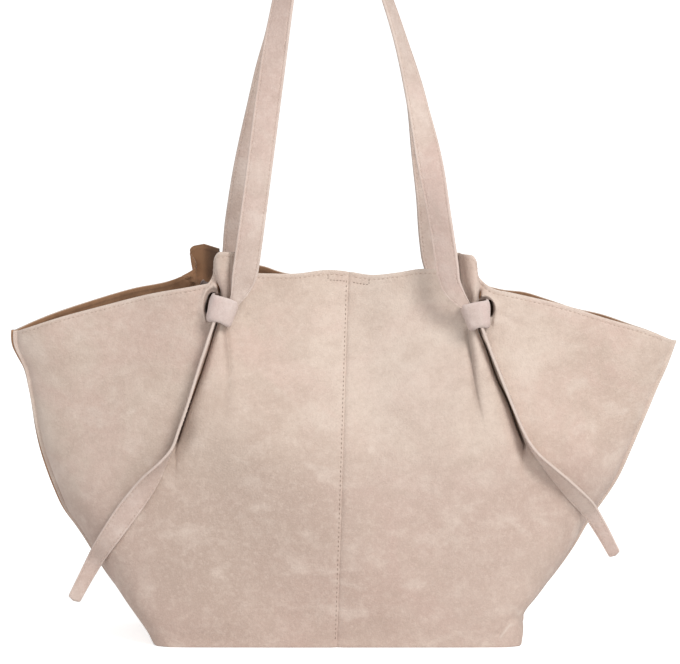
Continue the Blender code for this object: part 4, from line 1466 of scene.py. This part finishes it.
centreTape = {"widthShare": 0.9, "gap": 0.0004, "thickness": 0.0006, "foot": 0.02, "topShare": 0.995}
sideTape = {"start": 0.0008, "reach": 0.0042, "width": 0.0050, "thickness": 0.0008, "levels": (0.03, 0.982)}
base = {"inset": 0.0021, "thickness": 0.0018, "boardInset": 0.0052, "boardLow": 0.0021, "boardHigh": 0.0046}
for side in (leftSide, rightSide):
    makeSideTape(side)
for face in (frontFace, backFace):
    makeCentreTape(face)
makeBase("base_panel", base["inset"], 0.0, base["thickness"], panelSuede, "body_suede")
makeBase("base_board", base["boardInset"], base["boardLow"], base["boardHigh"], boardCover, "board")
print("base and side tapes made")

tab = {"lowered": 0.0026, "rounding": 0.05, "endPower": 14, "sidePower": 10, "bulge": 0.0003}
for face in (frontFace, backFace):
    makeTab(face)
    for side in (leftSide, rightSide):
        makePanel(side, face)
    makeCentreSeam(face)
    makeClosureSeam(face)
print("panels and seams made")


# Bands

def knotMiddle(side, face):
    return np.array([knotX(side, face), face["sign"] * strap["depth"], side["knotHeight"]])


def knotAxes(side):
    turn = -side["sign"] * math.radians(band[side["name"]]["tilt"])
    across = np.array([math.cos(turn), 0, -math.sin(turn)])
    upward = np.array([math.sin(turn), 0, math.cos(turn)])
    return across, upward


def makeBand(side, face):
    # Ring: a superellipse, |x|^n + |y|^n = 1. It narrows downwards, both its edges arch up in front and
    # draw in towards the leather.
    name = f"{face['name']}_{side['name']}_band"
    shape = band[side["name"]]
    low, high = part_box(name)
    deep = (high[1] - low[1]) / 2
    centre = np.array([knotX(side, face), (high[1] + low[1]) / 2, side["knotHeight"]])
    centre = centre + np.array([side["sign"] * shape["shift"][0], 0, shape["shift"][1]])
    across, upward = knotAxes(side)
    angle = np.linspace(0, 2 * np.pi, 144, endpoint=False)
    wave = lambda v: np.sign(v) * np.abs(v) ** (2 / band["roundness"])
    ringX, ringY = wave(np.cos(angle)), wave(np.sin(angle))
    place = np.linspace(-0.5, 0.5, 22)[:, None]
    width = shape["width"] / 2 * (1 - (1 - shape["lowWidthShare"]) * (0.5 - place))
    inFront = ease((ringY * face["sign"] + 0.2) / 0.8) * (1 - ringX**2)
    arch = inFront * (band["lowArch"] * (0.5 - place) + band["highArch"] * (0.5 + place))
    belly = band["belly"] * np.cos(np.pi * place) * inFront
    drawn = band["edgeDraw"] * np.abs(2 * place) ** band["drawPower"]
    width = width - drawn
    belly = belly - drawn * 0.5
    outward = np.stack([ringX * width, ringY * (deep + belly)], axis=-1)
    ripple = band["ripple"] * np.sin(3 * angle + 9 * place)
    outer = centre + outward[..., :1] * across + outward[..., 1:] * np.array([0, 1, 0])
    outer = outer + (place * band["height"] + arch)[..., None] * upward + ripple[..., None] * across
    inside = (width - band["thickness"], deep + belly - band["thickness"])
    shrink = np.stack([ringX * inside[0], ringY * inside[1]], axis=-1)
    inner = centre + shrink[..., :1] * across + shrink[..., 1:] * np.array([0, 1, 0])
    inner = inner + (place * band["height"] + arch)[..., None] * upward
    wearAndHighlight = bell((0.5 - np.abs(place)) * band["height"], 0.0011) + 0 * angle
    # Painted shade: along the band's lower edge and over its back half, inside the bag.
    dusk = 0.22 * bell((0.5 + place) * band["height"], 0.0012) + 0 * angle
    dusk = np.maximum(dusk, 0.8 * ease((-ringY * face["sign"] - 0.1) / 0.5))
    tones = {"wearAndHighlight": wearAndHighlight * 0.6, "shade": dusk}
    made = slab(name + "_loop", outer, inner, band["rimBulge"], [bandSuede, innerLeather], tones, True)
    settle(made, "bag", "strap_suede", name)


for face in (frontFace, backFace):
    for side in (leftSide, rightSide):
        makeBand(side, face)
print("bands made")


# Straps and tails

def strapProfile():
    # A flat two ply strap seen end on: half round edges, a pressed line along each seam and a slight crown.
    # Places across run from -1 to 1, and the height is in metres.
    inset = 1 - 2 * strap["seamInset"] / strap["width"]
    flat = np.concatenate([
        np.linspace(-strap["sideShare"], -inset - 0.05, 3), np.linspace(-inset - 0.04, -inset + 0.04, 5),
        np.linspace(-inset + 0.07, inset - 0.07, 11),
        np.linspace(inset - 0.04, inset + 0.04, 5), np.linspace(inset + 0.05, strap["sideShare"], 3),
    ])
    pressed = bell(flat - inset, strap["pressWidth"]) + bell(flat + inset, strap["pressWidth"])
    press = strap["press"] * pressed
    top = strap["thickness"] / 2 - press + strap["crown"] * (1 - (flat / inset) ** 2).clip(0)
    turn = np.linspace(0, np.pi, 9)[1:-1]
    sideX = strap["sideShare"] + (1 - strap["sideShare"]) * np.sin(turn)
    sideY = strap["thickness"] / 2 * np.cos(turn)
    x = np.concatenate([flat, sideX, flat[::-1], -sideX])
    y = np.concatenate([top, sideY, -top[::-1], -sideY])
    wearAndHighlight = bell(1 - np.abs(x), 0.10)
    return x, y, wearAndHighlight


def flatAcross(centres):
    # Square to the path, in the plane of the bag.
    along = unit(np.gradient(centres, axis=0))
    return unit(np.stack([-along[:, 2], 0 * along[:, 0], along[:, 0]], axis=1))


def carry(name, centres, facing, widths, look, tipRound=False):
    # The strap's profile carried along its centres, as wide as given at each step.
    along = unit(np.gradient(centres, axis=0))
    across = unit(facing - along * np.sum(facing * along, axis=1, keepdims=True))
    out = np.cross(along, across)
    x, y, wearAndHighlight = strapProfile()
    widths = np.asarray(widths)[:, None]
    thick = np.ones_like(widths)
    if tipRound:
        run = np.cumsum(np.linalg.norm(np.diff(centres, axis=0, prepend=centres[:1]), axis=1))[:, None]
        left = np.clip((run[-1] - run) / tail["tipLength"], 0, 1)
        widths = widths * (1 - (1 - left) ** tail["tipPower"]) ** (1 / tail["tipPower"]) + tail["tipBlunt"]
        thick = tail["thinShare"] * (0.45 + 0.55 * np.sqrt(1 - (1 - np.clip(left * 3, 0, 1)) ** 2))
    grid = centres[:, None] + across[:, None] * (x * widths / 2)[..., None]
    grid = grid + out[:, None] * (y * thick)[..., None]
    fields = {"wearAndHighlight": np.broadcast_to(wearAndHighlight, grid.shape[:2]).copy(), "shade": np.zeros(grid.shape[:2])}
    made = sweep(name, grid, [look], fields)
    rows = []
    for hand in (-1, 1):
        for face in (-1, 1):
            line = centres + across * hand * (widths / 2 - strap["seamInset"])
            line = line + out * face * (strap["thickness"] / 2 - 0.00022)
            rows.append((line, out * face))
    return made, rows


def strapStitches(name, rows, keep):
    points, alongs, normals = [], [], []
    for line, normal in rows:
        at, along, read = spaced(line[keep], stitch["pitch"])
        points.append(at)
        alongs.append(along)
        normals.append(read(normal[keep]))
    rows = [np.concatenate(part) for part in (points, alongs, normals)]
    return stitches(name, *rows, strapThread, stitch["strapThreadShare"])


# Strap end from inside the band up to the hinge, by place: offset outwards from the knot and height above
# it, in shares of the knot's own span, and the width in shares of the strap's.
endHeightShares = ((0, -0.13), (0.2, 0.12), (0.42, 0.40), (0.68, 0.70), (1, 1))
leftEndShares = {
    "offset": ((0, -0.26), (0.2, -0.42), (0.32, -0.60), (0.46, -0.735), (0.68, -0.88), (1, -1)),
    "width": ((0, 0.30), (0.2, 0.36), (0.32, 0.46), (0.46, 0.66), (0.68, 0.88), (1, 1)),
}
rightEndShares = {
    "offset": ((0, -0.30), (0.2, -0.42), (0.32, -0.68), (0.46, -0.93), (0.68, -1.16), (1, -1.25)),
    "width": ((0, 0.26), (0.2, 0.32), (0.32, 0.50), (0.46, 0.70), (0.68, 0.88), (1, 1)),
}


def strapEnd(side, face):
    shares = leftEndShares if side is leftSide else rightEndShares
    place = np.linspace(0, 1, strap["endSteps"])
    x = knotX(side, face) + side["sign"] * strap["rootShift"] * curveThrough(shares["offset"], place)
    span = strap["hingeHeight"] - side["knotHeight"]
    z = side["knotHeight"] + span * curveThrough(endHeightShares, place)
    y = face["sign"] * (strap["depth"] - strap["rootDepth"] * (1 - ease(place / 0.8)))
    return np.stack([x, y, z], axis=1), strap["width"] * curveThrough(shares["width"], place)


def makeHandle(face):
    # From one band over the hand to the other. The loop is a parabola that sways aside and turns its
    # width from the bag's plane to square across it at the top. The back one closes up behind the front.
    left, leftWidth = strapEnd(leftSide, face)
    right, rightWidth = strapEnd(rightSide, face)
    middle = (left[-1, 0] + right[-1, 0]) / 2
    half = (right[-1, 0] - left[-1, 0]) / 2
    p = np.linspace(-1, 1, 701)[1:-1]
    rise = 1 - p**2
    x = middle + half * p - strap["handleSway"] * rise**2
    if face is backFace:
        ways = [curveThrough(strap[hand], rise) for hand in ("backLeftShares", "backRightShares")]
        x = x - face["shift"] * (1 - np.where(p < 0, *ways))
    z = strap["hingeHeight"] + strap["handleDrop"] * rise
    topY = strap["width"] / 2 + strap["topGap"]
    y = face["sign"] * (strap["depth"] + (topY - strap["depth"]) * rise)
    loop = np.stack([x, y, z], axis=1)
    dense = np.concatenate([left, loop, right[::-1]])
    widths = np.concatenate([leftWidth, np.full(len(p), strap["width"]), rightWidth[::-1]])
    place = np.concatenate([np.full(len(left), -1.0), p, np.full(len(right), 1.0)])
    leftTurn = curveThrough(strap["leftTurnShares"], -place)
    rightTurn = curveThrough(strap["rightTurnShares"], place)
    inBand = np.concatenate([np.linspace(0, 1, len(left)), np.ones(len(p)), np.linspace(1, 0, len(right))])
    turn = np.pi / 2 * np.where(place < 0, leftTurn, rightTurn) * ease((inBand - 0.2) / 0.6)
    if face is backFace:
        turn = np.abs(turn)
    centres, read = evenSteps(dense, strap["steps"])
    centres = smoothed(centres, strap["smoothing"])
    widths, turn = read(widths), read(turn)[:, None]
    facing = flatAcross(centres) * np.cos(turn) + np.array([0, 1, 0]) * np.sin(turn)
    name = f"{face['name']}_handle"
    made, rows = carry(name + "_strap", centres, facing, widths, strapSuede)
    row = strapStitches(name + "_stitches", rows, slice(*strap["stitched"]))
    for piece in (made, row):
        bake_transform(piece)
    ends = [f"{face['name']}_{side['name']}_strap_end" for side in (leftSide, rightSide)]
    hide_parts(name, *ends)


def surfaceDepth(side, face, x, z):
    # The panel's depth under a place, read at the level that gives its height.
    seam = seamX(0.7)
    share = np.clip((x - seam) / (edgeX(side, 0.7) - seam), 0, 1)
    level = np.clip((z - body["foot"]) / (topHeight(side, face, share) - body["foot"]), 0, 0.93)
    inside = np.abs(x) < np.abs(edgeX(side, level)) - 0.002
    depth = np.abs(panelPoint(side, face, level, np.where(inside, x, edgeX(side, level) * 0.97))[0][..., 1])
    return depth


def makeTail(side, face):
    # From inside the band down along the panel: edge on at first, then laid flat, with a rounded tip.
    across, upward = knotAxes(side)
    outward = np.array([0, face["sign"], 0])
    pathShares = tail[side["name"] + "PathShares"]
    reach = side["tailReach"] * (1 if face is frontFace else tail["backReachShare"])
    drop = side["tailDrop"]
    first, travel = pathShares[1]
    direction = unit(np.array([side["sign"] * reach * travel, 0, -drop * first]))
    bottom = knotMiddle(side, face) - upward * (band["height"] / 2 + 0.001)
    bottom = bottom + np.array([side["sign"] * band[side["name"]]["rootOut"], 0, 0])
    root = bottom + direction * 0.004
    name = f"{face['name']}_{side['name']}_tail"
    place = np.linspace(0, 1, 300)
    x = root[0] + side["sign"] * reach * curveThrough(pathShares, place)
    z = root[2] - drop * place
    hanging = np.stack([x, root[1] + 0 * place, z], axis=1)
    inside = root - direction * np.linspace(tail["inBand"], 0.0004, 20)[:, None]
    dense = np.concatenate([inside, hanging])
    place = np.concatenate([np.zeros(len(inside)), place])
    centres, read = evenSteps(dense, tail["steps"])
    place = read(place)
    turn = math.radians(tail["edgeTurn"]) * curveThrough(tail[side["name"] + "TurnShares"], place)
    widths = tail["rootWidth"] + (tail["neckWidth"] - tail["rootWidth"]) * ease(place / 0.07)
    widths = widths + (tail["width"] - tail["neckWidth"]) * ease((place - 0.1) / 0.4)
    widths = widths + (tail["tipWidth"] - tail["width"]) * ease((place - 0.62) / 0.4)
    # The tail rests on the leather: its middle lies half its own depth above the highest place under it.
    under = 0
    for share in (-0.5, -0.25, 0, 0.25, 0.5):
        shift = side["sign"] * (share * widths * np.cos(turn) + 0.002 * np.sin(turn))
        under = np.maximum(under, surfaceDepth(side, face, centres[:, 0] + shift, centres[:, 2]))
    depth = under + tail["rest"] + np.abs(np.sin(turn)) * widths / 2 + np.cos(turn) * strap["thickness"] / 2
    held = ease((place - 0.005) / 0.14)
    depth = (strap["depth"] - 0.003) * (1 - held) + depth * held
    centres[:, 1] = face["sign"] * smoothed(depth, tail["depthSmoothing"])
    centres = smoothed(centres, tail["smoothing"])
    turn = turn[:, None]
    facing = flatAcross(centres) * np.cos(turn) + side["sign"] * outward * np.sin(turn)
    made, rows = carry(name + "_strap", centres, facing, widths, strapSuede, True)
    row = strapStitches(name + "_stitches", rows, slice(*tail["stitched"]))
    start = tuple(root - direction * tail["bendBefore"])
    end = tuple(root + direction * tail["bendAfter"])
    for piece in (made, row):
        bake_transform(piece)
    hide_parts(name)


for face in (frontFace, backFace):
    makeHandle(face)
    for side in (leftSide, rightSide):
        makeTail(side, face)
print("straps and tails made")


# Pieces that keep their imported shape

def dress(nodes, look):
    for node in nodes:
        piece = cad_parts[node]
        for place in piece.material_slots:
            place.material = look


dress([f"{f}_magnet" for f in ("front", "back")], magnetSteel)
print("packed pieces dressed")


# Floor, light and camera

studio = {
    "cameraDistance": 4.0,
    "cameraRise": 7.5,
    "target": (-0.0034, 0.0, 0.2314),
    "pictureWidth": 0.5168,
    "sensor": 36,
    "aim": (0, 0, 0.2),
    "worldStrength": 0.55,
    "key": {"place": (1.15, -1.95, 2.0), "size": 0.9, "power": 55, "colour": (1.0, 0.985, 0.96)},
    "fill": {"place": (-1.9, -1.5, 0.8), "size": 1.6, "power": 5.5, "colour": (0.97, 0.98, 1.0)},
    "floorDark": (0.93, 0.93, 0.93),
    "floorPale": (0.96, 0.96, 0.96),
    "floorGlow": 0.62,
    "floorRings": (0.0001, 0.3, 0.8, 2.0, 5.0, 12.0),
    "floorDrop": 0.0002,
}


def makeFloor():
    # A wide pale disc just under the bag. It glows to the camera alone, so that it goes over into the white.
    paint = Paint("floor_white")
    colour = paint.mix(studio["floorDark"], studio["floorPale"], paint.noise(6, 3, 0.5))
    seen = paint.node("ShaderNodeLightPath", output="Is Camera Ray")
    glow = paint.mix((0.0, 0.0, 0.0), (1.0, 1.0, 1.0), seen * studio["floorGlow"])
    look = paint.done(Base_Color=colour, Roughness=0.9, Emission_Color=glow, Emission_Strength=1.0)
    angle = np.linspace(0, 2 * np.pi, 96, endpoint=False)
    radius = np.array(studio["floorRings"])[:, None]
    points = np.stack([radius * np.cos(angle), radius * np.sin(angle), 0 * radius * angle], axis=-1)
    points[..., 2] -= studio["floorDrop"]
    index = np.arange(points[..., 0].size).reshape(points.shape[:2])
    wide = np.concatenate([index, index[:, :1]], axis=1)
    mesh = bpy.data.meshes.new("floor")
    mesh.from_pydata(points.reshape(-1, 3), [], quadsOf(wide)[:, ::-1])
    mesh.materials.append(look)
    made = bpy.data.objects.new("floor", mesh)
    bpy.context.scene.collection.objects.link(made)


def areaLight(name):
    values = studio[name]
    lamp = bpy.data.lights.new(name, "AREA")
    lamp.shape = "SQUARE"
    lamp.size = values["size"]
    lamp.energy = values["power"]
    lamp.color = values["colour"]
    made = bpy.data.objects.new(name, lamp)
    made.location = values["place"]
    aim = Vector(studio["aim"]) - Vector(values["place"])
    made.rotation_euler = aim.to_track_quat("-Z", "Y").to_euler()
    bpy.context.scene.collection.objects.link(made)


def makeWorld():
    # White to the camera, softer as a light.
    world = bpy.data.worlds.new("studio")
    bpy.context.scene.world = world
    world.use_nodes = True
    tree = world.node_tree
    tree.nodes.clear()
    out = tree.nodes.new("ShaderNodeOutputWorld")
    seen = tree.nodes.new("ShaderNodeBackground")
    seen.inputs["Strength"].default_value = 1.0
    lit = tree.nodes.new("ShaderNodeBackground")
    lit.inputs["Strength"].default_value = studio["worldStrength"]
    path = tree.nodes.new("ShaderNodeLightPath")
    mix = tree.nodes.new("ShaderNodeMixShader")
    for node in (seen, lit):
        node.inputs["Color"].default_value = (1, 1, 1, 1)
    tree.links.new(path.outputs["Is Camera Ray"], mix.inputs[0])
    tree.links.new(lit.outputs[0], mix.inputs[1])
    tree.links.new(seen.outputs[0], mix.inputs[2])
    tree.links.new(mix.outputs[0], out.inputs["Surface"])


def makeCamera():
    lens = bpy.data.cameras.new("camera")
    lens.sensor_width = studio["sensor"]
    lens.sensor_fit = "HORIZONTAL"
    lens.lens = studio["sensor"] * studio["cameraDistance"] / studio["pictureWidth"]
    lens.clip_end = 100
    made = bpy.data.objects.new("camera", lens)
    rise = math.radians(studio["cameraRise"])
    target = studio["target"]
    back = studio["cameraDistance"] * math.cos(rise)
    up = studio["cameraDistance"] * math.sin(rise)
    made.location = (target[0], target[1] - back, target[2] + up)
    made.rotation_euler = (math.pi / 2 - rise, 0, 0)
    bpy.context.scene.collection.objects.link(made)
    bpy.context.scene.camera = made


makeFloor()
areaLight("key")
areaLight("fill")
makeWorld()
makeCamera()
bpy.context.scene.view_settings.view_transform = "Standard"
bpy.context.scene.view_settings.look = "None"
print("studio made")
